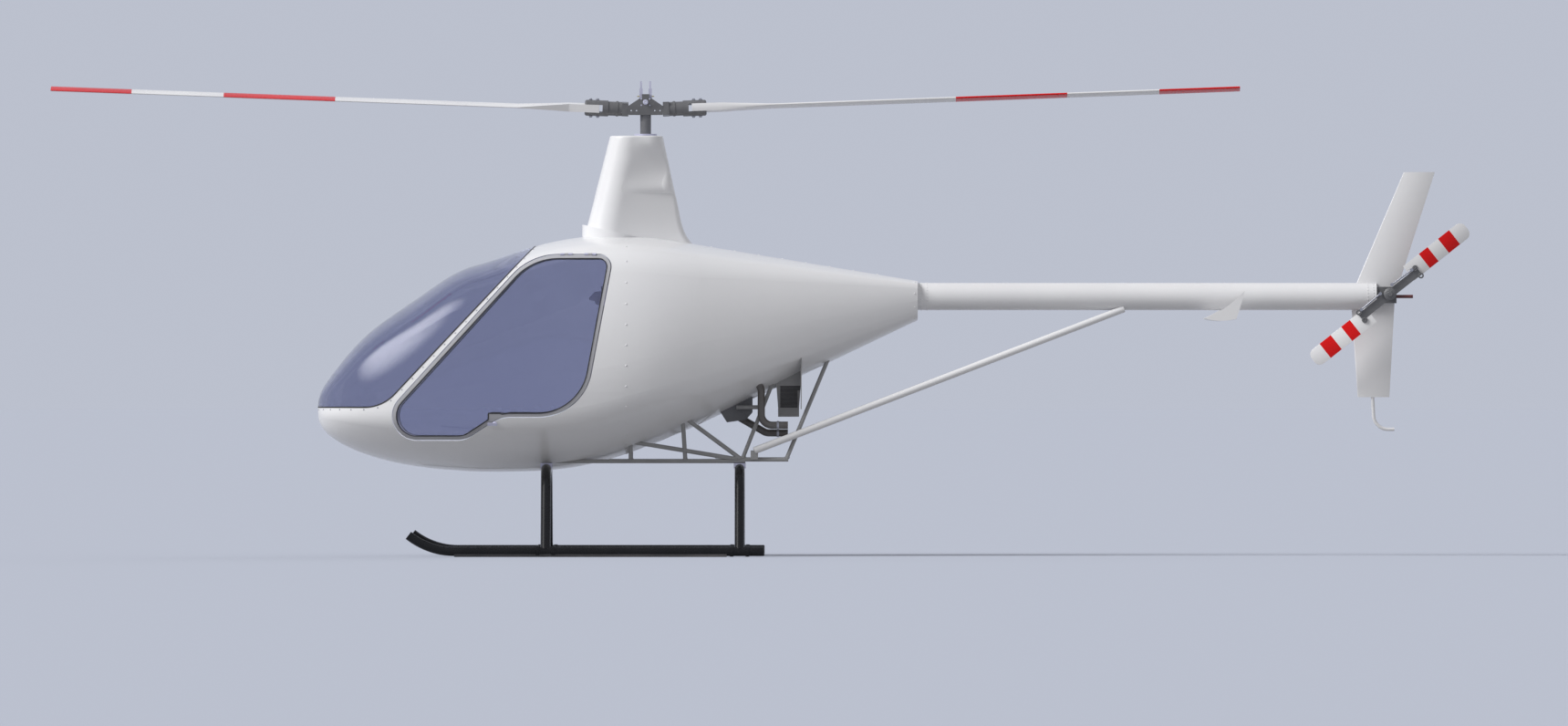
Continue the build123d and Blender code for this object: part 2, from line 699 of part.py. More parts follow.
def make_frame():
    members = frame_truss(0.0)
    truss = members[0]
    for member in members[1:]:
        truss = truss + member
    save("frame_truss", truss)


def make_gear():
    skid_centre = shoe_height + skid_radius
    tangent = toe_bend * sin(radians(toe_angle)) / (1 + cos(radians(toe_angle)))
    corner = toe_start - tangent
    toe = tangent + toe_straight
    path = [(skid_rear, -skid_y, skid_centre), (corner, -skid_y, skid_centre),
            (corner - toe * cos(radians(toe_angle)), -skid_y, skid_centre + toe * sin(radians(toe_angle)))]
    skid = bent_tube(path, skid_radius, toe_bend)
    shoe = block(toe_start, shoe_rear, -skid_y - shoe_width / 2, -skid_y + shoe_width / 2, 0, skid_centre)
    shoe = shoe - rod((skid_rear, -skid_y, skid_centre), (corner, -skid_y, skid_centre), skid_radius)
    shoe = shoe.solids().sort_by(Axis.Z)[0] if len(shoe.solids()) > 1 else shoe
    for side, piece in zip(("left", "right"), port_and_starboard(skid)):
        save(f"skid_{side}", piece)
    save("skid_shoes", *port_and_starboard(shoe))
    for name, station in zip(("front", "rear"), leg_stations):
        tube = cross_tube(station, 0.0)
        for side in (-1, 1):
            tube = tube - rod((-reach, side * skid_y, skid_centre), (reach, side * skid_y, skid_centre),
                              skid_radius + fit_gap)
        middle = tube.solids().sort_by(SortBy.VOLUME)[-1]
        save(f"cross_tube_{name}", middle)
    clamps = []
    for station in leg_stations:
        tool = cross_tube(station, fit_gap)
        throat = longeron_z - tube_radius - clamp_wall - leg_radius - fit_gap
        for side in (-1, 1):
            slot = block(station - leg_radius - fit_gap, station + leg_radius + fit_gap,
                         side * longeron_y - reach, side * longeron_y + reach, -reach, throat)
            clamps.append(clamp_box(station, side, 0.0) - tool - slot)
    save("gear_clamps", *clamps)


def make_tail():
    boom = rod((boom_front, 0, boom_z), (boom_end, 0, boom_z), boom_radius)
    bore = rod((boom_front, 0, boom_z), (boom_end, 0, boom_z), boom_radius - boom_wall)
    boom_room = rod((boom_front, 0, boom_z), (boom_end, 0, boom_z), boom_radius + fit_gap)
    save("tail_boom", boom - bore)

    foot = (strut_foot[0], -strut_foot[1], strut_foot[2])
    head = (strut_head[0], -strut_head[1], strut_head[2])
    strut = rod(foot, head, strut_radius) - boom_room
    lug = block(strut_foot[0] - strut_lug_length / 2, strut_foot[0] + strut_lug_length / 2,
                -strut_foot[1] - strut_lug / 2, -longeron_y, aft_longeron_z, strut_foot[2])
    longeron = rod((0, -longeron_y, aft_longeron_z), (reach, -longeron_y, aft_longeron_z), tube_radius)
    lug = lug - rod(foot, head, strut_radius) - longeron
    for side, piece in zip(("left", "right"), port_and_starboard(strut)):
        save(f"boom_strut_{side}", piece)
    save("strut_lugs", *port_and_starboard(lug))

    middle = (tailplane_front + tailplane_rear) / 2
    lead, trail = (tailplane_front, tailplane_z), (tailplane_rear, tailplane_z)
    section = make_face(Plane.XZ * (ThreePointArc(lead, (middle, tailplane_z + tailplane_rise), trail)
                                    + ThreePointArc(trail, (middle, tailplane_z - tailplane_sag), lead)))
    plane = prism(section, -tailplane_half_span, tailplane_half_span)
    save("tailplane", plane)
    plate = make_face(Plane.XZ * (ThreePointArc(end_plate_tip, end_plate_lead, end_plate_front)
                                  + ThreePointArc(end_plate_front, end_plate_belly, end_plate_rear)
                                  + ThreePointArc(end_plate_rear, end_plate_trail, end_plate_tip)))
    save("end_plates", *port_and_starboard(
        prism(plate, -tailplane_half_span - end_plate, -tailplane_half_span)))
    saddle = block(saddle_front, saddle_rear, -saddle_half_width, saddle_half_width, tailplane_z, saddle_top)
    saddle = (saddle - boom_room) - plane
    save("tailplane_saddle", saddle.solids().sort_by(SortBy.VOLUME)[-1])

    gear = block(boom_end, tail_box_rear, -tail_box_half_width, tail_box_half_width,
                 tail_box_bottom, tail_box_top)
    room = block(boom_end - fit_gap, tail_box_rear + reach, -reach, reach, tail_box_bottom - fit_gap,
                 tail_box_top + fit_gap)
    for name, rows in (("fin_upper", upper_fin_rows), ("fin_lower", lower_fin_rows)):
        layers = [Pos(0, 0, row["z"]) * airfoil(row["front"], row["rear"], row["thickness"])
                  for row in named(fin_columns, rows)]
        fin = loft(layers, ruled=True) - boom_room - room
        save(name, fin.solids().sort_by(SortBy.VOLUME)[-1])
    stinger = bent_tube([(x, 0, z) for x, z in stinger_path], stinger_radius, stinger_bend)
    save("tail_skid", stinger - block(0, 2 * reach, -reach, reach, lower_fin_rows[-1][0], reach))

    hub_x, hub_z = tail_hub
    gear = gear + rod((hub_x, 0, hub_z), (hub_x, -tail_boss_end, hub_z), tail_boss_radius)
    deep = tail_boss_end - tail_shaft_depth
    save("tail_gearbox", gear - rod((hub_x, -deep, hub_z), (hub_x, -tail_boss_end, hub_z),
                                    tail_shaft_radius + running_gap))
    save("drive_shaft_end", rod((tail_box_rear, 0, boom_z), (shaft_end_rear, 0, boom_z), shaft_end_radius))


def make_tail_rotor():
    hub_x, hub_z = tail_hub
    turn = radians(tail_rest_angle)
    disc = Plane(origin=(hub_x, -tail_rotor_y, hub_z), x_dir=(cos(turn), 0, sin(turn)), z_dir=(0, -1, 0))
    arm = Box(2 * tail_arm_end, tail_arm_width, tail_arm_depth)
    centre = Cylinder(tail_hub_radius, tail_hub_depth) + arm
    section = airfoil(-tail_chord / 4, 3 * tail_chord / 4, tail_blade_thickness)
    blade = extrude(Plane(origin=(tail_blade_start, 0, 0), x_dir=(0, 1, 0), z_dir=(1, 0, 0)) * section,
                    amount=tail_rotor_radius - tail_blade_start)
    front, rear = -tail_chord / 4, 3 * tail_chord / 4
    plan = FilletPolyline((tail_blade_start, front), (tail_rotor_radius, front), (tail_rotor_radius, rear),
                          (tail_blade_start, rear), radius=tail_tip_round)
    plan = make_face(plan + Line((tail_blade_start, rear), (tail_blade_start, front)))
    blade = blade & extrude(plan, amount=tail_chord, both=True)
    blade = Rot(tail_pitch, 0, 0) * blade
    blades = [Rot(0, 0, 180 * i) * blade for i in range(2)]
    for piece in blades:
        centre = centre - piece
    bar = tail_rotor_y - (tail_boss_end - tail_shaft_depth)
    shaft = Pos(0, 0, -bar / 2) * Cylinder(tail_shaft_radius, bar)
    solid = (centre + shaft).solids().sort_by(SortBy.VOLUME)[-1]
    save("tail_rotor_hub", disc.location * solid)
    save("tail_blades", *[disc.location * piece for piece in blades])


def make_main_rotor():
    mast = Pos(0, 0, (mast_bottom + mast_shoulder) / 2) * Cylinder(mast_radius, mast_shoulder - mast_bottom)
    head = block(-mast_head_radius, mast_head_radius, -mast_radius, mast_radius, mast_shoulder, teeter_z)
    head = head & Pos(0, 0, mast_shoulder) * Cylinder(mast_radius, reach)
    head = head + rod((0, -mast_radius, teeter_z), (0, mast_radius, teeter_z), mast_head_radius)
    hole = rod((0, -reach, teeter_z), (0, reach, teeter_z), teeter_bolt_radius + running_gap)
    save("rotor_mast", (mast + head) - hole)

    outline = [(-hub_half_length, hub_bottom), (hub_half_length, hub_bottom), (hub_half_length, hub_shoulder),
               (hub_top_half, hub_top), (-hub_top_half, hub_top), (-hub_half_length, hub_shoulder)]
    inner = mast_radius + cheek_gap
    plate = prism(side_polygon(outline), -inner - hub_plate, -inner)
    near, far = port_and_starboard(plate)
    hub = near + far
    for side in (-1, 1):
        ends = sorted((side * hub_half_length, side * (hub_half_length - hub_end_block)))
        hub = hub + block(*ends, -inner, inner, hub_bottom, hub_shoulder)
    outer_y = inner + hub_plate
    hub = hub + block(-hub_cap_half, hub_cap_half, -outer_y, outer_y, hub_cap_bottom, hub_cap_top)
    for side in (-1, 1):
        ends = sorted((side * inner, side * outer_y))
        hub = hub + block(-hub_cap_half, hub_cap_half, *ends, teeter_z, hub_cap_bottom)
    hub = hub + rod((0, -teeter_bolt_half, teeter_z), (0, teeter_bolt_half, teeter_z), teeter_bolt_radius)
    hub = hub - rod((0, -reach, teeter_z), (0, reach, teeter_z), teeter_bolt_bore)
    for station in hub_holes:
        hub = hub - rod((station, -reach, hub_hole_z), (station, reach, hub_hole_z), hub_hole_radius)
    save("rotor_hub", hub)
    uprights = []
    for side in (-1, 1):
        ends = sorted((side * upright_inner, side * upright_outer))
        shaft = sorted((side * (upright_inner + upright_neck), side * (upright_outer - upright_neck)))
        post = block(*ends, -upright_depth / 2, upright_depth / 2, upright_bottom, upright_step)
        post = post + block(*shaft, -upright_depth / 2, upright_depth / 2, upright_step, upright_top)
        uprights.append(post - hub)
    save("hub_uprights", *uprights)

    slot = blade_root_height / 2
    flange = block(grip_start, grip_flange_end, -grip_flange_width / 2, grip_flange_width / 2,
                   -grip_flange_height / 2, grip_flange_height / 2)
    barrel = rod((grip_flange_end, 0, 0), (grip_fork_start, 0, 0), grip_radius)
    fork = rod((grip_fork_start, 0, 0), (grip_end, 0, 0), grip_fork_radius)
    fork = fillet(fork.edges().group_by(Axis.X)[-1], grip_end_round)
    fork = fork - block(grip_slot_start, grip_end, -grip_fork_radius, grip_fork_radius, -slot, slot)
    grip = flange + barrel + fork

    def across(station):
        return Plane(origin=(station, 0, 0), x_dir=(0, 1, 0), z_dir=(1, 0, 0))

    half = blade_root_width / 2
    section = airfoil(-blade_chord / 4, 3 * blade_chord / 4, blade_thickness)
    root = make_face([
        ThreePointArc((-half, -slot), (-half - blade_root_bow, 0), (-half, slot)),
        Line((-half, slot), (half, slot)), Line((half, slot), (half, -slot)),
        Line((half, -slot), (-half, -slot))])
    blade = extrude(across(blade_root) * root, amount=blade_root_end - blade_root)
    blade = blade + loft([across(blade_root_end) * root, across(blade_section_start) * section], ruled=True)
    blade = blade + extrude(across(blade_section_start) * section, amount=rotor_radius - blade_section_start)
    lift = Pos(0, 0, grip_z) * Rot(0, -blade_coning, 0) * Rot(-blade_pitch, 0, 0)
    clear = hub + block(-hub_half_length, hub_half_length, -reach, reach, -reach, reach)
    for name, half_turn in (("aft", 0), ("fore", 180)):
        save(f"blade_grip_{name}", (Rot(0, 0, half_turn) * lift * grip) - clear)
        save(f"main_blade_{name}", Rot(0, 0, half_turn) * lift * blade)


make_body()
make_cabin()
make_fairing()
make_power_unit()
make_frame()
make_gear()
make_tail()
make_tail_rotor()
make_main_rotor()
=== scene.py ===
import json
import math

import bmesh
import bpy
import numpy as np
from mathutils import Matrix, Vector
from mathutils.bvhtree import BVHTree


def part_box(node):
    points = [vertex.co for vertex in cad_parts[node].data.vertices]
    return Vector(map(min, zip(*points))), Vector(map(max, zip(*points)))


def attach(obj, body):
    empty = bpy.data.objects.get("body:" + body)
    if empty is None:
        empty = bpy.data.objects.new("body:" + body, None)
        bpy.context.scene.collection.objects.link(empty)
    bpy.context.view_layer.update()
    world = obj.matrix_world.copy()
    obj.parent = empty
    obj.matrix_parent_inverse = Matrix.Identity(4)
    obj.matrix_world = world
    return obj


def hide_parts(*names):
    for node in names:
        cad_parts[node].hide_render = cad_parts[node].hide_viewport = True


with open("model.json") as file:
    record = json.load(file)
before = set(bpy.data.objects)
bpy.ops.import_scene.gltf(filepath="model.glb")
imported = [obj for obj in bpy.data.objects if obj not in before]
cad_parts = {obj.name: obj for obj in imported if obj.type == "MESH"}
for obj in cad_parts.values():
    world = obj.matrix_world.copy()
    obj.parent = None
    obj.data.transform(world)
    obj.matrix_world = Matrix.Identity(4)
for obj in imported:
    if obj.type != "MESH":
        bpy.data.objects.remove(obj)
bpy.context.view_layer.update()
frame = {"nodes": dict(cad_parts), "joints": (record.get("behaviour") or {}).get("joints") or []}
nodes = frame["nodes"]
scene = bpy.context.scene
jointAt = {joint["name"]: np.array(joint["pos_m"]) for joint in frame["joints"]}
mastX = jointAt["main_rotor_spin"][0]
tailHub = jointAt["tail_rotor_spin"]
print("frame loaded:", len(nodes), "nodes")


# Finishes

def newFinish(name):
    material = bpy.data.materials.new(name)
    material.use_nodes = True
    tree = material.node_tree
    return material, tree, tree.nodes["Principled BSDF"]


# each input takes a link from another node's output, or a plain value
def feed(tree, node, values):
    for key, value in values.items():
        if isinstance(value, bpy.types.NodeSocket):
            tree.links.new(value, node.inputs[key])
        else:
            node.inputs[key].default_value = value


def addNode(tree, kind, values, **settings):
    node = tree.nodes.new("ShaderNode" + kind)
    for key, value in settings.items():
        setattr(node, key, value)
    feed(tree, node, values)
    return node.outputs


noiseDetail, noiseLow, noiseHigh = 4.0, 0.3, 0.7


# object coordinates -> noise, spread from its usual values to the range from low to high
def noiseRange(tree, scale, low, high, stretch=(1, 1, 1)):
    place = addNode(tree, "TexCoord", {})["Object"]
    spot = addNode(tree, "Mapping", {"Vector": place, "Scale": stretch})["Vector"]
    noise = addNode(tree, "TexNoise", {"Vector": spot, "Scale": scale, "Detail": noiseDetail})["Fac"]
    return addNode(tree, "MapRange", {"Value": noise, "From Min": noiseLow, "To Min": low,
                                      "From Max": noiseHigh, "To Max": high})["Result"]


mixFirst, mixSecond, mixResult = 6, 7, 2   # the colour ones among the mix node's sockets


def mixColours(tree, factor, first, second):
    first, second = ((*value, 1.0) if isinstance(value, tuple) else value for value in (first, second))
    sockets = {"Factor": factor, mixFirst: first, mixSecond: second}
    return addNode(tree, "Mix", sockets, data_type="RGBA")[mixResult]


def bumpOf(tree, height, strength, distance):
    return addNode(tree, "Bump", {"Height": height, "Strength": strength, "Distance": distance})["Normal"]


usualLook = dict(stretch=(1, 1, 1), metal=0.0, shine=0.5, coat=0.0, coatRough=0.06, depth=0.0004)


# paint, metal or plastic: cloudy colour, uneven gloss and a fine bump, all on object coordinates
def surfaceFinish(name, colour, shade, cloud, grain, rough, spread, bump, others):
    look = dict(usualLook, **others)
    material, tree, shader = newFinish(name)
    clouds = noiseRange(tree, cloud, 0.0, 1.0, look["stretch"])
    gloss = noiseRange(tree, grain, rough - spread, rough + spread, look["stretch"])
    grains = noiseRange(tree, grain, 0.0, 1.0, look["stretch"])
    feed(tree, shader, {
        "Base Color": mixColours(tree, clouds, colour, shade), "Roughness": gloss, "Metallic": look["metal"],
        "Specular IOR Level": look["shine"], "Coat Weight": look["coat"], "Coat Roughness": look["coatRough"],
        "Normal": bumpOf(tree, grains, bump, look["depth"])})
    return material


# colour, shade, scale of the clouds, scale of the grain, roughness, its spread, bump, other values
finishRows = {
    "skinPaint": ((0.80, 0.80, 0.81), (0.76, 0.76, 0.775), 1.3, 220.0, 0.30, 0.03, 0.012, dict(coat=0.5)),
    "rimPaint": ((0.43, 0.43, 0.455), (0.38, 0.38, 0.405), 3.0, 260.0, 0.36, 0.05, 0.04, dict(coat=0.3)),
    "tailPaint": ((0.78, 0.78, 0.79), (0.74, 0.74, 0.755), 2.0, 240.0, 0.32, 0.05, 0.03, dict(coat=0.4)),
    "frameGrey": ((0.33, 0.33, 0.333), (0.28, 0.28, 0.285), 9.0, 300.0, 0.45, 0.08, 0.08, dict(shine=0.35)),
    "coolerGrey": ((0.34, 0.34, 0.343), (0.29, 0.29, 0.295), 7.0, 260.0, 0.5, 0.08, 0.12, dict(shine=0.3)),
    # dark slats on the cooler box: painted shade on its lower band
    "finDark": ((0.085, 0.085, 0.088), (0.065, 0.065, 0.068), 16.0, 420.0, 0.5, 0.1, 0.1, dict(shine=0.3)),
    "gearBlack": ((0.003, 0.003, 0.0035), (0.007, 0.007, 0.0075), 6.0, 200.0, 0.26, 0.06, 0.04,
                  dict(shine=0.3)),
    "shoeSteel": ((0.05, 0.05, 0.052), (0.14, 0.13, 0.125), 14.0, 180.0, 0.5, 0.15, 0.2,
                  dict(metal=0.7, stretch=(0.15, 1, 1))),
    "headAlloy": ((0.165, 0.165, 0.168), (0.135, 0.135, 0.14), 18.0, 420.0, 0.40, 0.08, 0.05,
                  dict(metal=0.25)),
    "lilacAlloy": ((0.62, 0.62, 0.76), (0.52, 0.52, 0.66), 24.0, 500.0, 0.34, 0.07, 0.04, dict(metal=0.35)),
    "boltGold": ((0.78, 0.70, 0.38), (0.66, 0.58, 0.30), 60.0, 600.0, 0.32, 0.06, 0.03, dict(metal=0.8)),
    "boltSteel": ((0.46, 0.46, 0.49), (0.34, 0.34, 0.37), 60.0, 700.0, 0.34, 0.08, 0.04, dict(metal=0.95)),
    "mastSteel": ((0.20, 0.20, 0.205), (0.16, 0.16, 0.165), 12.0, 260.0, 0.34, 0.08, 0.05,
                  dict(metal=0.4, stretch=(1, 1, 8))),
    "engineAlloy": ((0.15, 0.15, 0.155), (0.11, 0.11, 0.115), 14.0, 160.0, 0.55, 0.1, 0.25,
                    dict(metal=0.3)),
    "pipeSteel": ((0.15, 0.145, 0.14), (0.11, 0.095, 0.085), 11.0, 240.0, 0.42, 0.12, 0.08,
                  dict(metal=0.3)),
    "shaftRed": ((0.13, 0.032, 0.032), (0.10, 0.022, 0.022), 22.0, 300.0, 0.4, 0.08, 0.05, dict(coat=0.2)),
    "cabinGrey": ((0.30, 0.305, 0.32), (0.26, 0.265, 0.28), 5.0, 700.0, 0.62, 0.06, 0.18, {}),
    "podBlack": ((0.022, 0.022, 0.024), (0.034, 0.034, 0.036), 8.0, 900.0, 0.58, 0.08, 0.3, {}),
    "sealRubber": ((0.028, 0.028, 0.030), (0.045, 0.045, 0.047), 30.0, 800.0, 0.68, 0.08, 0.15, {}),
    "dialFace": ((0.010, 0.010, 0.012), (0.016, 0.016, 0.018), 50.0, 900.0, 0.35, 0.05, 0.03, {}),
}
finishes = {name: surfaceFinish(name, *row) for name, row in finishRows.items()}

glassLook = dict(tint=(0.56, 0.575, 0.70), deepTint=(0.53, 0.545, 0.68), cloud=1.2, smear=3.6,
                 roughLow=0.01, roughHigh=0.035, ior=1.02, coatIor=1.48, coatRough=0.02)


# tinted see-through panes: the body of a thin pane bends light very little, and the coat gives its mirror
def glassFinish(look):
    material, tree, shader = newFinish("tintedGlass")
    clouds = noiseRange(tree, look["cloud"], 0.0, 1.0)
    feed(tree, shader, {
        "Base Color": mixColours(tree, clouds, look["tint"], look["deepTint"]),
        "Roughness": noiseRange(tree, look["smear"], look["roughLow"], look["roughHigh"]),
        "Transmission Weight": 1.0, "IOR": look["ior"], "Coat Weight": 1.0, "Coat IOR": look["coatIor"],
        "Coat Roughness": look["coatRough"]})
    return material


finishes["tintedGlass"] = glassFinish(glassLook)

bandLook = dict(white=(0.80, 0.80, 0.81), whiteShade=(0.74, 0.74, 0.76), red=(0.70, 0.006, 0.006),
                redShade=(0.60, 0.004, 0.004), cloud=3.0, smear=60.0, roughLow=0.26, roughHigh=0.36,
                shine=0.25, grain=260.0, bump=0.012, depth=0.0004)


# blade paint: distance from the hub along the span / reach -> constant bands of white and red
def bandFinish(name, look):
    material, tree, shader = newFinish(name)
    place = addNode(tree, "TexCoord", {})["Object"]
    offset = addNode(tree, "VectorMath", {0: place, 1: tuple(look["hub"])}, operation="SUBTRACT")["Vector"]
    along = addNode(tree, "VectorMath", {0: offset, 1: tuple(look["span"])}, operation="DOT_PRODUCT")["Value"]
    size = addNode(tree, "Math", {0: along}, operation="ABSOLUTE")["Value"]
    share = addNode(tree, "Math", {0: size, 1: look["reach"]}, operation="DIVIDE")["Value"]
    ramp = tree.nodes.new("ShaderNodeValToRGB")
    stops = ramp.color_ramp.elements
    ramp.color_ramp.interpolation = "CONSTANT"
    stops[0].color = (0, 0, 0, 1)
    stops[1].position = look["edges"][0] / look["reach"]
    for step, edge in enumerate(look["edges"][1:]):
        stops.new(edge / look["reach"]).color = (step % 2, step % 2, step % 2, 1)
    feed(tree, ramp, {"Fac": share})
    clouds = noiseRange(tree, look["cloud"], 0.0, 1.0)
    white = mixColours(tree, clouds, look["white"], look["whiteShade"])
    red = mixColours(tree, clouds, look["red"], look["redShade"])
    grains = noiseRange(tree, look["grain"], 0.0, 1.0)
    feed(tree, shader, {
        "Base Color": mixColours(tree, ramp.outputs["Color"], white, red),
        "Roughness": noiseRange(tree, look["smear"], look["roughLow"], look["roughHigh"]),
        "Specular IOR Level": look["shine"], "Normal": bumpOf(tree, grains, look["bump"], look["depth"])})
    return material


tailTurn = math.radians(38.3)
tailSpan = np.array([math.cos(tailTurn), 0, math.sin(tailTurn)])
tailChord = np.array([-math.sin(tailTurn), 0, math.cos(tailTurn)])
finishes["bladeBands"] = bandFinish("bladeBands", dict(
    bandLook, hub=(mastX, 0, 0), span=(1, 0, 0), reach=3.4, edges=(1.694, 2.304, 2.814)))
finishes["tailBands"] = bandFinish("tailBands", dict(
    bandLook, hub=tailHub, span=tailSpan, reach=0.6, edges=(0.258, 0.321, 0.393, 0.471)))

weaveLook = dict(waver=0.6, wear=7.0, wearMost=0.35, rough=0.88, sheen=0.25, bump=0.4, depth=0.0006)


# woven cloth: two crossed waves for the threads, darker in the valleys as painted shade
def clothFinish(name, look):
    material, tree, shader = newFinish(name)
    place = addNode(tree, "TexCoord", {})["Object"]
    thread = {"Vector": place, "Scale": look["threads"], "Distortion": look["waver"]}
    waves = [addNode(tree, "TexWave", thread, bands_direction=way)["Fac"] for way in ("Y", "Z")]
    weave = addNode(tree, "Math", {0: waves[0], 1: waves[1]}, operation="MAXIMUM")["Value"]
    # painted shade: the weave's valleys take the darker colour
    colour = mixColours(tree, weave, look["deep"], look["colour"])
    wear = noiseRange(tree, look["wear"], 0.0, look["wearMost"])
    feed(tree, shader, {
        "Base Color": mixColours(tree, wear, colour, look["worn"]), "Roughness": look["rough"],
        "Sheen Weight": look["sheen"], "Normal": bumpOf(tree, weave, look["bump"], look["depth"])})
    return material


finishes["seatCloth"] = clothFinish("seatCloth", dict(
    weaveLook, threads=240.0, colour=(0.16, 0.17, 0.21), deep=(0.075, 0.08, 0.105), worn=(0.21, 0.22, 0.255)))
finishes["beltWebbing"] = clothFinish("beltWebbing", dict(
    weaveLook, threads=420.0, colour=(0.035, 0.035, 0.04), deep=(0.012, 0.012, 0.014),
    worn=(0.06, 0.06, 0.065)))

nodeFinish = {
    "skinPaint": ["nose_tub", "canopy_frame", "cowl_left", "cowl_right", "mast_fairing"],
    "tintedGlass": ["windshield", "door_glass_left", "door_glass_right"],
    "rimPaint": ["door_rim_left", "door_rim_right"],
    "lilacAlloy": ["door_hinges", "control_bellcrank", "mast_collar", "hub_uprights", "gear_clamps"],
    "cabinGrey": ["bulkhead", "cabin_floor", "seat_bases"],
    "podBlack": ["instrument_pod", "pedals"],
    "seatCloth": ["seat_cushions", "seat_backs"],
    "headAlloy": ["rotor_hub", "blade_grip_aft", "blade_grip_fore", "tail_rotor_hub", "tail_gearbox"],
    "mastSteel": ["rotor_mast"],
    "bladeBands": ["main_blade_aft", "main_blade_fore"],
    "tailBands": ["tail_blades"],
    "frameGrey": ["frame_truss", "strut_lugs", "cooler_plate"],
    "coolerGrey": ["oil_cooler"],
    "engineAlloy": ["engine_block", "main_gearbox"],
    "pipeSteel": ["exhaust_pipes"],
    "gearBlack": ["skid_left", "skid_right", "cross_tube_front", "cross_tube_rear"],
    "shoeSteel": ["skid_shoes"],
    "tailPaint": ["tail_boom", "boom_ring", "boom_strut_left", "boom_strut_right", "tailplane", "end_plates",
                  "tailplane_saddle", "fin_upper", "fin_lower", "tail_skid"],
    "shaftRed": ["drive_shaft_end"],
}
for finishName, group in nodeFinish.items():
    for name in group:
        nodes[name].data.materials.clear()
        nodes[name].data.materials.append(finishes[finishName])
for name in nodeFinish["tintedGlass"]:
    nodes[name].visible_shadow = False   # daylight reaches the seats through the panes
print("finishes on nodes")


# Surfaces on grids

# quads between the rows and columns of a grid, closed round where asked
def gridQuads(rows, columns, wrapRows, wrapColumns):
    r = np.arange(rows if wrapRows else rows - 1)
    c = np.arange(columns if wrapColumns else columns - 1)
    r, c = (a.ravel() for a in np.meshgrid(r, c, indexing="ij"))
    nextR, nextC = (r + 1) % rows, (c + 1) % columns
    return np.stack([r * columns + c, r * columns + nextC, nextR * columns + nextC, nextR * columns + c], 1)


joinGap, shortEdge, sharpAngle = 1e-6, 1e-7, math.radians(38)


# one object from several grids: points are joined where they meet and the faces turned outwards
def addPiece(name, grids, finish, body="airframe"):
    points, quads, start = [], [], 0
    for grid, wrapRows, wrapColumns in grids:
        rows, columns = grid.shape[:2]
        points.append(grid.reshape(-1, 3))
        quads.append(gridQuads(rows, columns, wrapRows, wrapColumns) + start)
        start += rows * columns
    mesh = bpy.data.meshes.new(name)
    mesh.from_pydata(np.concatenate(points).tolist(), [], np.concatenate(quads).tolist())
    work = bmesh.new()
    work.from_mesh(mesh)
    bmesh.ops.remove_doubles(work, verts=work.verts, dist=joinGap)
    bmesh.ops.dissolve_degenerate(work, edges=work.edges, dist=shortEdge)
    bmesh.ops.recalc_face_normals(work, faces=work.faces)
    work.to_mesh(mesh)
    work.free()
    mesh.shade_smooth()
    mesh.set_sharp_from_angle(angle=sharpAngle)
    piece = bpy.data.objects.new(name, mesh)
    scene.collection.objects.link(piece)
    mesh.materials.append(finishes[finish])
    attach(piece, body)
    return piece


def unit(vectors):
    return vectors / np.linalg.norm(vectors, axis=-1, keepdims=True)


# an axis and two directions square to it; past the steepest tilt the first is taken from X, not Z
def squareTo(axis, steepest=0.9):
    axis = unit(np.array(axis, float))
    other = np.array([0.0, 0.0, 1.0]) if abs(axis[2]) < steepest else np.array([1.0, 0.0, 0.0])
    first = unit(np.cross(other, axis))
    return axis, first, np.cross(axis, first)


def turnsOf(count, offset=0.0):
    return (np.arange(count) + offset) * 2 * np.pi / count


# direction square to X at an angle from Y
def spokeAt(turn):
    return np.array([0, math.cos(turn), math.sin(turn)])


# profile of (radius, height) points turned about an axis through a centre
def turned(profile, centre, axis, sides):
    axis, first, second = squareTo(axis)
    profile = np.array(profile, float)
    angle = turnsOf(sides)
    ring = np.cos(angle)[:, None, None] * first + np.sin(angle)[:, None, None] * second
    grid = np.array(centre) + profile[:, :1] * ring + profile[:, 1:] * axis
    return grid, True, False


# closed flat profile of (across, out) points carried along a path; the ends shrink to a point
def carried(path, profile, out, closed=False):
    path, profile, out = np.array(path, float), np.array(profile, float), np.array(out, float)
    if closed:
        tangent = np.roll(path, -1, 0) - np.roll(path, 1, 0)
    else:
        tangent = np.gradient(path, axis=0)
    tangent = unit(tangent)
    across = unit(np.cross(tangent, np.broadcast_to(out, path.shape)))
    lift = np.cross(across, tangent)
    grid = path[:, None] + profile[:, :1] * across[:, None] + profile[:, 1:] * lift[:, None]
    if not closed:
        middle = grid.mean(1, keepdims=True)
        first, last = np.repeat(middle[:1], len(profile), 1), np.repeat(middle[-1:], len(profile), 1)
        grid = np.concatenate([first, grid, last])
    return grid, closed, True


def roundProfile(radius, sides=10):
    angle = turnsOf(sides)
    return np.stack([radius * np.cos(angle), radius * np.sin(angle)], 1)


# flat band with bevelled edges; inset and flank are the shares of width and height left straight
def flatProfile(width, height, inset=0.96, flank=0.5):
    below = [(-1, -flank), (-inset, -1), (inset, -1), (1, -flank)]
    above = [(1, flank), (inset, 1), (-inset, 1), (-1, flank)]
    return np.array(below + above) * (width / 2, height / 2)


# even spacing along a line of points, measured on the first three columns
def resampled(path, count, closed=False):
    path = np.array(path, float)
    if closed:
        path = np.concatenate([path, path[:1]])
    length = np.concatenate([[0], np.cumsum(np.linalg.norm(np.diff(path[:, :3], axis=0), axis=1))])
    at = np.linspace(0, length[-1], count, endpoint=not closed)
    return np.stack([np.interp(at, length, column) for column in path.T], 1)


# the same even spacing for a closed loop and the directions that go with it
def evenLoop(points, ways, count):
    even = resampled(np.concatenate([points, ways], 1), count, closed=True)
    return even[:, :3], even[:, 3:]


def barGrid(start, end, steps, profile, out):
    return carried(resampled([start, end], steps), profile, out)


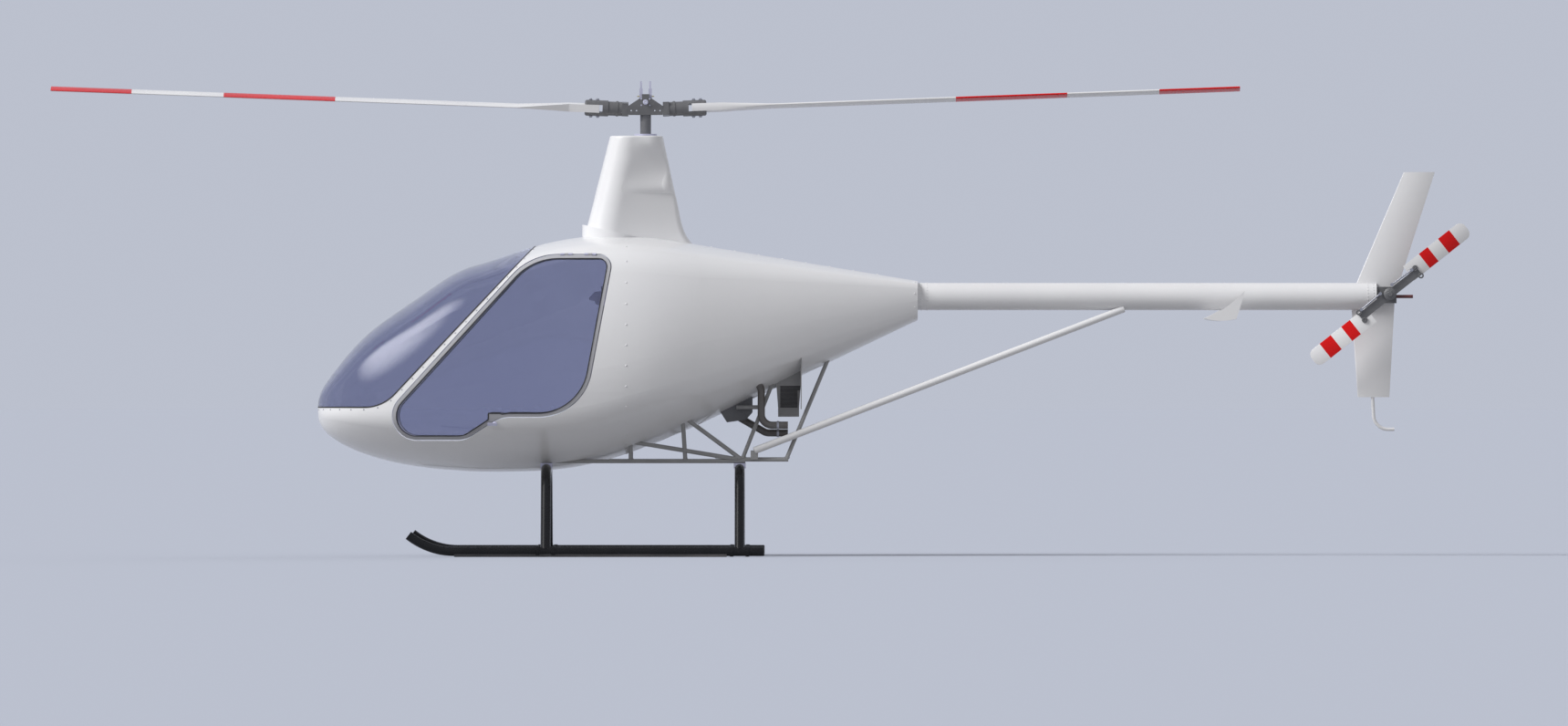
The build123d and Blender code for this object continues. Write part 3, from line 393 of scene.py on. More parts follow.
# (radius, height) in units of the head's size
washerProfile = np.array([(0, 0), (1.25, 0), (1.25, 0.22), (0, 0.22)])
hexagonProfile = np.array([(0, 0.2), (1, 0.2), (1, 0.85), (0.86, 1), (0, 1)])
domeProfile = np.array([(0, 0), (1, 0), (0.94, 0.22), (0.7, 0.42), (0, 0.5)])
washerSides, hexagonSides, domeSides = 20, 6, 12


# hexagon head on a washer
def boltHead(centre, axis, size):
    return [turned(washerProfile * size, centre, axis, washerSides),
            turned(hexagonProfile * size, centre, axis, hexagonSides)]


# low domed head of a screw or rivet
def domeHead(centre, axis, size):
    return turned(domeProfile * size, centre, axis, domeSides)


def rayTree(pieces):
    points, faces = [], []
    for piece in pieces:
        start = len(points)
        points += [v.co.copy() for v in piece.data.vertices]
        faces += [[start + i for i in p.vertices] for p in piece.data.polygons]
    return BVHTree.FromPolygons(points, faces)


skinNames = ["nose_tub", "canopy_frame", "cowl_left", "cowl_right", "windshield", "door_rim_left",
             "door_rim_right", "door_glass_left", "door_glass_right", "mast_fairing"]
skinTree = rayTree([nodes[name] for name in skinNames])


# where a line from far outside first meets the skin, with the skin's outward direction there
def onSkin(start, towards):
    way = Vector(towards) - Vector(start)
    hit, normal, _, _ = skinTree.ray_cast(Vector(start), way.normalized())
    if hit is None:
        return None
    normal = np.array(normal)
    if np.dot(normal, np.array(way)) > 0:
        normal = -normal
    return np.array(hit), normal


edgeGap, sharpTurn = 1e-5, 0.6


# longest sharp loop of a node's outer face: edges where a face that looks outwards turns sharply
def outerLoop(name, outward):
    work = bmesh.new()
    work.from_mesh(nodes[name].data)
    bmesh.ops.remove_doubles(work, verts=work.verts, dist=edgeGap)
    links = {}
    for edge in work.edges:
        if len(edge.link_faces) != 2 or edge.calc_face_angle(0.0) < sharpTurn:
            continue
        if any(outward(face) for face in edge.link_faces):
            a, b = edge.verts
            links.setdefault(a.index, []).append(b.index)
            links.setdefault(b.index, []).append(a.index)
    work.verts.ensure_lookup_table()
    loops, seen = [], set()
    for start in links:
        if start in seen:
            continue
        loop, here = [], start
        while here is not None:
            seen.add(here)
            loop.append(here)
            here = next((ahead for ahead in links[here] if ahead not in seen), None)
        loops.append([work.verts[i] for i in loop])
    longest = max(loops, key=len)
    points = np.array([vert.co for vert in longest])
    ways = [sum((face.normal for face in vert.link_faces if outward(face)), Vector()) for vert in longest]
    work.free()
    return points, unit(np.array(ways))


# Seats

seatLook = dict(inner=0.045, pinch=0.012, cushionCrown=0.006, backCrown=0.004, crownPower=0.7,
                channels=(-0.45, -0.1, 0.25, 0.6), channelDepth=0.007, channelWidth=0.035, channelFrom=0.2,
                channelFade=6, rows=96, sides=72, rowPower=0.55, cornerPower=0.42, endPower=7, endThin=0.8,
                lean=0.128, topRoom=0.006)


# the sign is kept and the size raised to a power: under 1 it makes a wave squarer
def signedPower(values, power):
    return np.sign(values) * np.abs(values) ** power


# closed pad: a rounded-square section scaled to nothing at both ends, swollen in the middle of its face,
# pulled in along its sides and pressed down along the sewn channels
def padGrid(line, halfWidth, halfThick, face, crown):
    look = seatLook
    v = signedPower(np.linspace(-1, 1, look["rows"]), look["rowPower"])
    u = turnsOf(look["sides"])
    closeEnd = (1 - np.abs(v) ** look["endPower"]).clip(0) ** (1 / look["endPower"])
    side, up = (signedPower(wave, look["cornerPower"]) for wave in (np.cos(u), np.sin(u)))
    thick = np.interp(v, (-1, 1), halfThick)
    width = halfWidth - look["pinch"] * np.cos(v * np.pi / 2)
    sideways = side * (width * closeEnd)[:, None]
    upwards = up * (thick * closeEnd ** look["endThin"])[:, None]
    inside = (1 - side ** 2) * (1 - v ** 2)[:, None]
    swell = (up > 0) * crown * inside ** look["crownPower"]
    dips = sum(np.exp(-((v - at) / look["channelWidth"]) ** 2) for at in look["channels"])
    fade = 1 - side ** look["channelFade"]
    press = (up > look["channelFrom"]) * look["channelDepth"] * dips[:, None] * fade
    centre = np.stack([np.interp(v, (-1, 1), ends) for ends in zip(*line)], 1)
    rise = (upwards + swell - press)[..., None] * np.array(face)
    grid = centre[:, None] + sideways[..., None] * np.array([0, 1, 0]) + rise
    return grid, False, True


coverLook = dict(voxel=0.007, pressure=22.0, frames=16, quality=4, cap=0.014, stitch=0.005, underside=-0.3)


def vertexValues(mesh, name):
    values = np.empty(len(mesh.vertices) * 3)
    mesh.vertices.foreach_get(name, values)
    return values.reshape(-1, 3)


# cover blown up as cloth: the pad is remeshed evenly, its underside and sewn channels are held,
# and no point moves further than the cap
def blowUp(piece, along, outward):
    look = coverLook
    even = piece.modifiers.new("even", "REMESH")
    even.mode, even.voxel_size, even.use_smooth_shade = "VOXEL", look["voxel"], True
    mesh = bpy.data.meshes.new_from_object(piece.evaluated_get(bpy.context.evaluated_depsgraph_get()))
    piece.modifiers.clear()
    piece.data = mesh
    start, normal = vertexValues(mesh, "co"), vertexValues(mesh, "normal")
    low, high = start[:, along].min(), start[:, along].max()
    place = (start[:, along] - (low + high) / 2) / ((high - low) / 2)
    toChannel = np.min([np.abs(place - at) for at in seatLook["channels"]], 0) * (high - low) / 2
    held = (normal @ np.array(outward) < look["underside"]) | (toChannel < look["stitch"])
    piece.vertex_groups.new(name="held").add(np.nonzero(held)[0].tolist(), 1.0, "REPLACE")
    cloth = piece.modifiers.new("cover", "CLOTH")
    cloth.settings.quality = look["quality"]
    cloth.settings.vertex_group_mass = "held"
    cloth.settings.use_pressure = True
    cloth.settings.uniform_pressure_force = look["pressure"]
    cloth.settings.effector_weights.gravity = 0.0
    cloth.point_cache.frame_end = look["frames"]
    for step in range(1, look["frames"] + 1):
        scene.frame_set(step)
    blown = piece.evaluated_get(bpy.context.evaluated_depsgraph_get()).data
    shift = vertexValues(blown, "co") - start
    size = np.linalg.norm(shift, axis=1, keepdims=True)
    print(f"{piece.name}: {len(start)} points, mean move {size.mean():.4f}, most {size.max():.4f}")
    shift *= np.minimum(1, look["cap"] / np.maximum(size, 1e-9))
    piece.modifiers.clear()
    piece.vertex_groups.clear()
    mesh.vertices.foreach_set("co", (start + shift).ravel())
    mesh.update()
    mesh.shade_smooth()
    scene.frame_set(1)


# points where lines from outside meet a pad, lifted off it by a little
def lieOn(piece, starts, ways, off):
    tree = rayTree([piece])
    ways = np.broadcast_to(np.array(ways, float), starts.shape)
    hits = [tree.ray_cast(Vector(start), Vector(way)) for start, way in zip(starts, ways)]
    return np.array([np.array(hit) + np.array(normal) * off for hit, normal, _, _ in hits if hit is not None])


pipingLook = dict(radius=0.0045, off=0.4, seam=1.55, steps=120, cornerPower=0.3, reach=0.03)


# piping: a round bead where lines towards a pad's middle meet its side, just under the top
def pipingGrids(cushions, low, high, half, thick):
    look = pipingLook
    turn = turnsOf(look["steps"])
    shape = signedPower(np.stack([np.cos(turn), np.sin(turn)], 1), look["cornerPower"])
    reachX, reachY = (high[0] - low[0]) / 2 + look["reach"], half + look["reach"]
    ring = np.stack([shape[:, 0] * reachX, shape[:, 1] * reachY, turn * 0], 1)
    middleX, seamZ = (low[0] + high[0]) / 2, low[2] + thick * look["seam"]
    grids = []
    for side in (-1, 1):
        middle = np.array([middleX, side * (seatLook["inner"] + half), seamZ])
        line = lieOn(cushions, middle + ring, -ring, look["radius"] * look["off"])
        even = resampled(line, look["steps"], closed=True)
        grids.append(carried(even, roundProfile(look["radius"]), (0, 0, 1), closed=True))
    return grids


# pads are made smaller than their nodes by the room that the blown cover takes
def makeSeats():
    look = seatLook
    room = coverLook["cap"]
    low, high = np.array(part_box("seat_cushions"))
    half = (high[1] - look["inner"]) / 2
    thick = (high[2] - low[2] - room) / 2
    pads = []
    for side in (-1, 1):
        y, z = side * (look["inner"] + half), low[2] + thick
        line = ((low[0] + room / 3, y, z), (high[0] - room / 3, y, z))
        pads.append(padGrid(line, half - room / 4, (thick, thick), (0, 0, 1), look["cushionCrown"]))
    cushions = addPiece("seatCushionPads", pads, "seatCloth")
    blowUp(cushions, 0, (0, 0, 1))
    piping = pipingGrids(cushions, low, high, half, thick)
    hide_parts("seat_cushions")
    low, high = np.array(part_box("seat_backs"))
    depth = high[0] - low[0]
    bottomThick, topThick = (depth - room) / 2, (depth - look["lean"] - look["topRoom"]) / 2
    pads = []
    for side in (-1, 1):
        y = side * (look["inner"] + half)
        line = ((high[0] - bottomThick, y, low[2] + room), (high[0] - topThick, y, high[2] - room))
        pads.append(padGrid(line, half - room / 2, (bottomThick, topThick), (-1, 0, 0), look["backCrown"]))
    backs = addPiece("seatBackPads", pads, "seatCloth")
    blowUp(backs, 2, (-1, 0, 0))
    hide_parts("seat_backs")
    addPiece("seatPiping", piping, "beltWebbing")
    return cushions, backs


cushionPads, backPads = makeSeats()
print("seats padded")

# Belts, instruments and cabin trim

beltLook = dict(width=0.045, thick=0.0024, shoulder=0.09, gather=0.035, off=0.004, away=0.3, topDrop=0.03,
                lapRise=0.05, tucks=((-0.004, -0.012), (-0.030, 0.003)), strapOut=(-0.95, 0, 0.3),
                frontSteps=36, strapSteps=60, behind=0.07, leanShare=0.55, lapReach=0.93, lapSteps=40,
                buckle=((0, 0), (0.028, 0), (0.0294, 0.006), (0.0252, 0.013), (0, 0.014)), buckleSides=32)


# straps: a flat band along the line where it lies on the pad, with its ends tucked in
def makeBelts():
    look = beltLook
    backLow, backHigh = np.array(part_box("seat_backs"))
    padHigh = np.array(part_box("seat_cushions")[1])
    middle = (seatLook["inner"] + backHigh[1]) / 2
    reach = (backHigh[1] - seatLook["inner"]) / 2 * look["lapReach"]
    band = flatProfile(look["width"], look["thick"])
    share = np.linspace(0, 1, look["frontSteps"])
    aside = look["shoulder"] + (look["gather"] - look["shoulder"]) * share
    topZ, lowZ = backHigh[2] - look["topDrop"], padHigh[2] + look["lapRise"]
    ahead = np.full(len(share), backLow[0] - look["away"])
    lapX = padHigh[0] - look["behind"] - (backHigh[0] - backLow[0]) * look["leanShare"]
    straps, metal = [], []
    for side in (-1, 1):
        for shift in (-1, 1):
            y = side * middle + shift * aside
            starts = np.stack([ahead, y, topZ + (lowZ - topZ) * share], 1)
            front = lieOn(backPads, starts, (1, 0, 0), look["off"])
            tucked = [(backHigh[0] + back, y[0], backHigh[2] + up) for back, up in look["tucks"]]
            path = resampled(np.concatenate([tucked, front]), look["strapSteps"])
            straps.append(carried(path, band, look["strapOut"]))
        lapY = side * middle + np.linspace(-reach, reach, look["lapSteps"])
        starts = np.array([(lapX, y, padHigh[2] + look["away"]) for y in lapY])
        lap = lieOn(cushionPads, starts, (0, 0, -1), look["off"])
        straps.append(carried(resampled(lap, look["lapSteps"]), band, (0, 0, 1)))
        metal.append(turned(look["buckle"], lap[len(lap) // 2], (0, 0, 1), look["buckleSides"]))
    addPiece("seatBelts", straps, "beltWebbing")
    addPiece("beltBuckles", metal, "boltSteel")


# bezel: (share of the radius, height); needle and mark: (width, thickness)
dialLook = dict(radius=0.038, across=(-0.095, 0.0, 0.095), drop=0.045, sides=40, faceShare=0.87,
                faceThick=0.0015, needle=(0.004, 0.0012), needleLift=0.003, needleTip=(0, 0.45, 0.5),
                needleSteps=6, marks=12, mark=(0.0022, 0.0008), markLift=0.0022, markFrom=0.66,
                markLength=0.16, markSteps=4, bezel=((0.86, 0.002), (0.88, 0.007), (0.98, 0.008), (1, 0.004),
                                                     (1, 0), (0.86, 0), (0.86, 0.002)))


def makeDials():
    look = dialLook
    podHigh = np.array(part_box("instrument_pod")[1])
    r, out = look["radius"], np.array([1.0, 0, 0])
    bezel = [(share * r, height) for share, height in look["bezel"]]
    faceR, faceThick = look["faceShare"] * r, look["faceThick"]
    face = [(0, 0), (faceR, 0), (faceR, faceThick), (0, faceThick)]
    needle, mark = flatProfile(*look["needle"]), flatProfile(*look["mark"])
    bezels, faces, needles = [], [], []
    for across in look["across"]:
        centre = np.array([podHigh[0], across, podHigh[2] - look["drop"]])
        bezels.append(turned(bezel, centre, out, look["sides"]))
        faces.append(turned(face, centre, out, look["sides"]))
        start = centre + out * look["needleLift"]
        tip = start + np.array(look["needleTip"]) * r
        needles.append(barGrid(start, tip, look["needleSteps"], needle, out))
        for hour in turnsOf(look["marks"]):
            spoke = spokeAt(hour) * r
            start = centre + out * look["markLift"] + spoke * look["markFrom"]
            end = start + spoke * look["markLength"]
            needles.append(barGrid(start, end, look["markSteps"], mark, out))
    addPiece("dialBezels", bezels, "podBlack")
    addPiece("dialFaces", faces, "dialFace")
    addPiece("dialNeedles", needles, "skinPaint")


makeBelts()
makeDials()
print("cabin fitted")

# Seals and screws on the skin

sealLook = dict(width=0.007, height=0.0032, steps=400, outwards=0.45, screwSize=0.0042, screwPitch=0.085,
                screwInset=0.013, fewestScrews=3, probe=0.3, farthest=0.03)
cabinMiddle = Vector((mastX - 0.9, 0.0, 1.0))


# a face of the shell that looks away from the middle of the cabin
def looksOut(face):
    away = (face.calc_center_median() - cabinMiddle).normalized()
    return face.normal.dot(away) > sealLook["outwards"]


# points beside a loop, away from its middle, on the skin; one at each step of the pitch
def besideLoop(points, ways, look):
    around = np.linalg.norm(np.roll(points, -1, 0) - points, axis=1).sum()
    count = max(int(around / look["screwPitch"]), look["fewestScrews"])
    points, ways = evenLoop(points, ways, count)
    tangent = unit(np.roll(points, -1, 0) - np.roll(points, 1, 0))
    aside = np.cross(tangent, ways)
    aside *= np.sign(((points - points.mean(0)) * aside).sum(1, keepdims=True))
    found = []
    for point, way in zip(points + aside * look["screwInset"], ways):
        hit = onSkin(point + way * look["probe"], point - way * look["probe"])
        if hit is not None and np.linalg.norm(hit[0] - point) < look["farthest"]:
            found.append(hit)
    return found


def makeSeals():
    look = sealLook
    band = flatProfile(look["width"], look["height"])
    paneBody = {"door_glass_left": "door_left", "door_glass_right": "door_right", "windshield": "airframe"}
    for name, body in paneBody.items():
        points, ways = outerLoop(name, looksOut)
        loop, out = evenLoop(points, ways, look["steps"])
        grid = carried(loop, band, out, closed=True)
        addPiece(f"seal_{name}", [grid], "sealRubber", body)
    # the last pane of the loop is the windshield, the only one with screws
    screws = [domeHead(at, way, look["screwSize"]) for at, way in besideLoop(points, ways, look)]
    addPiece("windshieldScrews", screws, "boltSteel")


# rings: (height of the ring's middle, number of fasteners)
fastenerLook = dict(size=0.0055, inset=0.016, frontRing=(1.1, 34), rearRing=(1.4, 10), away=2.0, above=3.0,
                    pitch=0.13, spineFrom=0.36, spineEnd=0.1, fairingGap=0.02)


# fasteners round both ends of the cowls and along the joint on top, found by rays towards the middle
def makeFasteners():
    look = fastenerLook
    low, high = np.array(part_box("cowl_left"))
    found = []
    rings = ((low[0] + look["inset"], *look["frontRing"]), (high[0] - look["inset"], *look["rearRing"]))
    for x, middle, count in rings:
        centre = np.array([x, 0, middle])
        for turn in turnsOf(count, 0.5):
            found.append(onSkin(centre + spokeAt(turn) * look["away"], centre))
    for x in np.arange(mastX + look["spineFrom"], high[0] - look["spineEnd"], look["pitch"]):
        for y in (-look["inset"], look["inset"]):
            found.append(onSkin((x, y, look["above"]), (x, y, 0)))
    fairing = rayTree([nodes["mast_fairing"]])
    heads = [domeHead(hit[0], hit[1], look["size"]) for hit in found
             if hit is not None and fairing.find_nearest(Vector(hit[0]))[3] > look["fairingGap"]]
    addPiece("cowlFasteners", heads, "skinPaint")


latchLook = dict(station=-0.821, height=0.728, away=2.0, length=0.052, before=0.25, lift=0.011, width=0.016,
                 thick=0.007, steps=12, bossSides=28,
                 boss=((0, -0.002), (0.012, -0.002), (0.012, 0.006), (0.0096, 0.009), (0, 0.009)))


# paddle handle: a flat bar on a round boss, square to the door's skin
def makeLatches():
    look = latchLook
    paddle = flatProfile(look["width"], look["thick"])
    for side, name in ((-1, "left"), (1, "right")):
        x = mastX + look["station"]
        at, way = onSkin((x, side * look["away"], look["height"]), (x, 0, look["height"]))
        along = unit(np.cross(way, (0, 0, 1.0))) * look["length"]
        boss = turned(look["boss"], at, way, look["bossSides"])
        start = at + way * look["lift"] - along * look["before"]
        handle = barGrid(start, start + along, look["steps"], paddle, way)
        addPiece(f"latchHandle_{name}", [boss, handle], "lilacAlloy", f"door_{name}")


makeSeals()
makeFasteners()
makeLatches()
print("seals, fasteners and latches laid")


# Rotor head hardware

# profiles are (radius, height); coning is the rise of the grips over their distance from the mast
headLook = dict(bladeBolt=0.009, boltBacks=(0.034, 0.072), gripHeight=2.45, away=0.5,
                clampBolt=0.006, clamps=6, clampBack=0.036, clampRing=0.031, clampHeight=2.4475,
                bandBack=0.062, bandHeight=2.4455, coning=0.0366, bandSides=40,
                band=((0.0385, -0.007), (0.0425, -0.006), (0.0425, 0.006), (0.0385, 0.007)),
                cheek=0.0432, pin=0.0042, pinAside=0.023, pinUp=0.017, ringSides=36,
                ring=((0.0045, 0), (0.0143, 0), (0.0143, 0.004), (0.011, 0.0055), (0.011, 0.0155),
                      (0.0045, 0.0155)),
                stopBolt=0.0045, stopAside=0.034, stopHeight=2.519, studSides=16,
                stud=((0, 0), (0.0028, 0), (0.0028, 0.013), (0, 0.013)))


# bolts through the fork, found by looking down and up on the grip
def gripBolts(grip, x):
    tree = rayTree([grip])
    found = []
    for way in (1, -1):
        start = Vector((x, 0, headLook["gripHeight"] + way * headLook["away"]))
        hit, normal, _, _ = tree.ray_cast(start, Vector((0, 0, -way)))
        if hit is not None:
            out = np.array(normal) * (1 if normal.z * way > 0 else -1)
            found += boltHead(np.array(hit), out, headLook["bladeBolt"])
    return found


def makeHead():
    look = headLook
    bolts, golden, lilac, dark = [], [], [], []
    for name in ("blade_grip_aft", "blade_grip_fore"):
        low, high = np.array(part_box(name))
        sign = 1 if name.endswith("aft") else -1
        tip, root = (high[0], low[0]) if sign > 0 else (low[0], high[0])
        for back in look["boltBacks"]:
            bolts += gripBolts(nodes[name], tip - sign * back)
        clampMiddle = np.array([root + sign * look["clampBack"], 0, look["clampHeight"]])
        for turn in turnsOf(look["clamps"], 0.5):
            at = clampMiddle + spokeAt(turn) * look["clampRing"]
            bolts += boltHead(at, (sign, 0, 0), look["clampBolt"])
        bandX = root + sign * look["bandBack"]
        bandAt = (bandX, 0, look["bandHeight"] + look["coning"] * abs(bandX - mastX))
        dark.append(turned(look["band"], bandAt, (1, 0, look["coning"] * sign), look["bandSides"]))
    teeterX, _, teeterZ = jointAt["rotor_teeter"]
    for side in (-1, 1):
        face, out = side * look["cheek"], (0, side, 0)
        lilac.append(turned(look["ring"], (teeterX, face, teeterZ), out, look["ringSides"]))
        for up in (look["pinUp"], -look["pinUp"]):
            for aside in (-look["pinAside"], look["pinAside"]):
                lilac.append(domeHead((teeterX + aside, face, teeterZ + up), out, look["pin"]))
    for sign in (-1, 1):
        at = (teeterX + sign * look["stopAside"], 0, look["stopHeight"])
        golden += boltHead(at, (sign, 0, 0), look["stopBolt"])
        golden.append(turned(look["stud"], at, (sign, 0, 0), look["studSides"]))
    addPiece("headBolts", bolts, "boltSteel", "rotor_head")
    addPiece("gripBands", dark, "headAlloy", "rotor_head")
    addPiece("teeterRings", lilac, "lilacAlloy", "rotor_head")
    addPiece("stopBolts", golden, "boltGold", "rotor_head")


makeHead()
print("rotor head fitted")

# Tail, gear and pipes

# places on the tail hub are (along the span, along the chord, to starboard); profiles are (radius, height)
tailLook = dict(earAt=(0.196, 0.026, -0.0115), earSides=32,
                ear=((0.0075, 0), (0.016, 0), (0.016, 0.008), (0.0144, 0.010), (0.0075, 0.010), (0.0075, 0)),
                linkStart=(0.040, 0.034, -0.022), linkEnd=(0.176, 0.030, -0.018), link=0.005, linkSteps=16,
                ball=((0, -0.008), (0.009, -0.008), (0.0095, 0), (0.009, 0.008), (0, 0.008)), ballSides=20,
                sliderAt=(0, 0, -0.030), sliderSides=40,
                slider=((0, 0), (0.034, 0), (0.034, 0.010), (0.026, 0.016), (0.015, 0.018), (0.013, 0.034),
                        (0, 0.034)),
                rivet=0.0036, rivetRing=26, cowlRows=(0.022, 0.052), endRows=(0.018, 0.048))


def onTailHub(along, across, starboard):
    return tailHub + tailSpan * along + tailChord * across + np.array([0, starboard, 0])


def makeTail():
    look = tailLook
    out = (0, -1, 0)
    ears, links, rivets = [], [], []
    for sign in (-1, 1):
        along, across, starboard = look["earAt"]
        for edge in (-1, 1):
            at = onTailHub(sign * along, edge * across, starboard)
            ears.append(turned(look["ear"], at, out, look["earSides"]))
        ends = (look["linkStart"], look["linkEnd"])
        start, end = (onTailHub(sign * along, across, starboard) for along, across, starboard in ends)
        links.append(barGrid(start, end, look["linkSteps"], roundProfile(look["link"]), out))
        for tip in (start, end):
            links.append(turned(look["ball"], tip, out, look["ballSides"]))
    ears.append(turned(look["slider"], onTailHub(*look["sliderAt"]), out, look["sliderSides"]))
    addPiece("tailHubEars", ears, "headAlloy", "tail_rotor")
    addPiece("tailPitchLinks", links, "boltSteel", "tail_rotor")
    boomLow, boomHigh = np.array(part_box("tail_boom"))
    radius, middle = (boomHigh[2] - boomLow[2]) / 2, (boomHigh[2] + boomLow[2]) / 2
    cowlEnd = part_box("cowl_left")[1][0]
    rows = [cowlEnd + step for step in look["cowlRows"]] + [boomHigh[0] - step for step in look["endRows"]]
    for x in rows:
        for turn in turnsOf(look["rivetRing"]):
            way = spokeAt(turn)
            rivets.append(domeHead(np.array([x, 0, middle]) + way * radius, way, look["rivet"]))
    addPiece("boomRivets", rivets, "tailPaint")


# plug: (share of the skid's radius, share of the plug's length)
gearLook = dict(strapWidth=0.022, strapThick=0.0035, strapTop=0.9, strapOff=0.043, strapBolt=0.0065, sides=40,
                plugLength=0.006, plug=((0, 0), (0.98, 0), (0.98, 0.6), (0.8, 1), (0, 1)))


def makeGear():
    look = gearLook
    half = look["strapWidth"] / 2
    top = half * look["strapTop"]
    straps, bolts, plugs = [], [], []
    for side, name in ((-1, "left"), (1, "right")):
        low, high = np.array(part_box(f"skid_{name}"))
        y = (low[1] + high[1]) / 2
        radius = (high[1] - low[1]) / 2
        outer = radius + look["strapThick"]
        z = low[2] + radius
        strap = [(radius, -half), (outer, -top), (outer, top), (radius, half)]
        for leg in ("cross_tube_front", "cross_tube_rear"):
            legLow, legHigh = np.array(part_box(leg))
            for step in (-look["strapOff"], look["strapOff"]):
                x = (legLow[0] + legHigh[0]) / 2 + step
                straps.append(turned(strap, (x, y, z), (1, 0, 0), look["sides"]))
                bolts += boltHead((x, y + side * outer, z), (0, side, 0), look["strapBolt"])
        plug = np.array(look["plug"]) * (radius, look["plugLength"])
        plugs.append(turned(plug, (high[0], y, z), (1, 0, 0), look["sides"]))
    addPiece("legStraps", straps, "gearBlack")
    addPiece("strapBolts", bolts, "gearBlack")
    addPiece("skidPlugs", plugs, "sealRubber")


# members that end on the port longeron: foot (station, height), then head (station, across, height)
weldLook = dict(longeron=0.235, radius=0.011, swell=1.04, steps=48, bead=0.0032, beadSides=8, members=(
    ((-0.081, 0.520), (-0.081, 0.235, 0.650)), ((0.218, 0.520), (0.203, 0.235, 0.760)),
    ((0.521, 0.527), (-0.103, 0.235, 0.630)), ((0.521, 0.532), (0.208, 0.235, 0.763)),
    ((0.531, 0.532), (0.700, 0.150, 0.960)), ((0.771, 0.529), (1.013, 0.070, 1.110))))


# weld bead: a round bead along the line where a member's tube leaves the longeron's tube; the reach along
# each line of the tube solves: distance from the longeron's axis = the longeron's radius, a little swollen
def makeWelds():
    look = weldLook
    profile = roundProfile(look["bead"], look["beadSides"])
    turn = turnsOf(look["steps"])[:, None]
    beads = []
    for foot, head in look["members"]:
        for side in (-1, 1):
            start = np.array([mastX + foot[0], side * look["longeron"], foot[1]])
            along, first, second = squareTo(np.array([mastX + head[0], side * head[1], head[2]]) - start)
            ring = look["radius"] * (np.cos(turn) * first + np.sin(turn) * second)
            a = along[1] ** 2 + along[2] ** 2
            b = ring[:, 1] * along[1] + ring[:, 2] * along[2]
            c = ring[:, 1] ** 2 + ring[:, 2] ** 2 - (look["radius"] * look["swell"]) ** 2
            reach = (-b + np.sqrt((b * b - a * c).clip(0))) / a
            line = start + ring + reach[:, None] * along
            beads.append(carried(line, profile, along, closed=True))
    addPiece("weldBeads", beads, "frameGrey")


coolerLook = dict(front=0.738, rear=0.848, low=0.816, high=0.930, slats=19, slat=(0.0050, 0.0036), rays=8,
                  facingRay=3)


# flat slats along the lines where level rays from the side meet the box, dark to paint the shade on the box's
# lower band
def makeCoolerShadeSlats():
    look = coolerLook
    tree = rayTree([nodes["oil_cooler"]])
    stations = mastX + np.linspace(look["front"], look["rear"], look["rays"])
    slats = []
    for side in (-1, 1):
        for z in np.linspace(look["low"], look["high"], look["slats"]):
            rays = [tree.ray_cast(Vector((x, side, z)), Vector((0, -side, 0))) for x in stations]
            line = np.array([np.array(ray[0]) for ray in rays if ray[0] is not None])
            if len(line) > 2:
                facing = np.array(rays[look["facingRay"]][1])
                slats.append(carried(line, flatProfile(*look["slat"]), facing))
    addPiece("coolerSlats", slats, "finDark")


# ends: (across, height) of the two pipes
pipeLook = dict(radius=0.020, band=0.012, rise=0.003, sides=36, ends=((-0.228, 0.717), (0.160, 0.674)),
                back=0.055, bolt=0.005, boltOut=0.022, boltUp=0.006)


def makePipeBands():
    look = pipeLook
    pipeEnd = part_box("exhaust_pipes")[1][0]
    inner, outer, half = look["radius"], look["radius"] + look["rise"], look["band"] / 2
    bands, bolts = [], []
    for y, z in look["ends"]:
        side = math.copysign(1, y)
        at = np.array([pipeEnd - look["back"], y, z])
        ring = [(inner, -half), (outer, -half), (outer, half), (inner, half)]
        bands.append(turned(ring, at, (1, 0, 0), look["sides"]))
        boltAt = at + np.array([0, side * look["boltOut"], look["boltUp"]])
        bolts += boltHead(boltAt, (0, side, 0), look["bolt"])
    addPiece("pipeBands", bands, "boltSteel")
    addPiece("pipeBandBolts", bolts, "boltSteel")


makeTail()
makeGear()
makeWelds()
makeCoolerShadeSlats()
makePipeBands()
print("tail, gear and pipes fitted")

# Stage, light and camera

stageLook = dict(floorSize=900.0, floorSeen=(0.47, 0.50, 0.58), floorGiven=(0.34, 0.34, 0.35),
                 floorRough=0.95, sky=(0.45, 0.45, 0.46), skySeen=(0.50, 0.53, 0.615),
                 softBox=(6.0, 6.0, 6.0), patchEdge=0.91, sunAngle=30.0, sunPower=2.95,
                 sunFrom=(-0.74, -0.34, 0.60), fillPower=0.45, fillFrom=(0.55, 0.75, 0.37))


# pale ground and sky for what the camera, mirrors and glass see; a duller one for the light on the object
def seenBlend(tree):
    rays = addNode(tree, "LightPath", {})
    first = addNode(tree, "Math", {0: rays["Is Camera Ray"], 1: rays["Is Glossy Ray"]}, operation="MAXIMUM")
    second = addNode(tree, "Math", {0: first["Value"], 1: rays["Is Transmission Ray"]}, operation="MAXIMUM")
    return second["Value"], rays["Is Glossy Ray"]


def makeFloor():
    look = stageLook
    half = look["floorSize"] / 2
    corners = [(-half, -half, 0), (half, -half, 0), (half, half, 0), (-half, half, 0)]
    mesh = bpy.data.meshes.new("paleFloor")
    mesh.from_pydata(corners, [], [(0, 1, 2, 3)])
    floor = bpy.data.objects.new("paleFloor", mesh)
    scene.collection.objects.link(floor)
    material, tree, shader = newFinish("floorMatt")
    colour = mixColours(tree, seenBlend(tree)[0], look["floorGiven"], look["floorSeen"])
    feed(tree, shader, {"Base Color": colour, "Roughness": look["floorRough"], "Specular IOR Level": 0.0})
    mesh.materials.append(material)


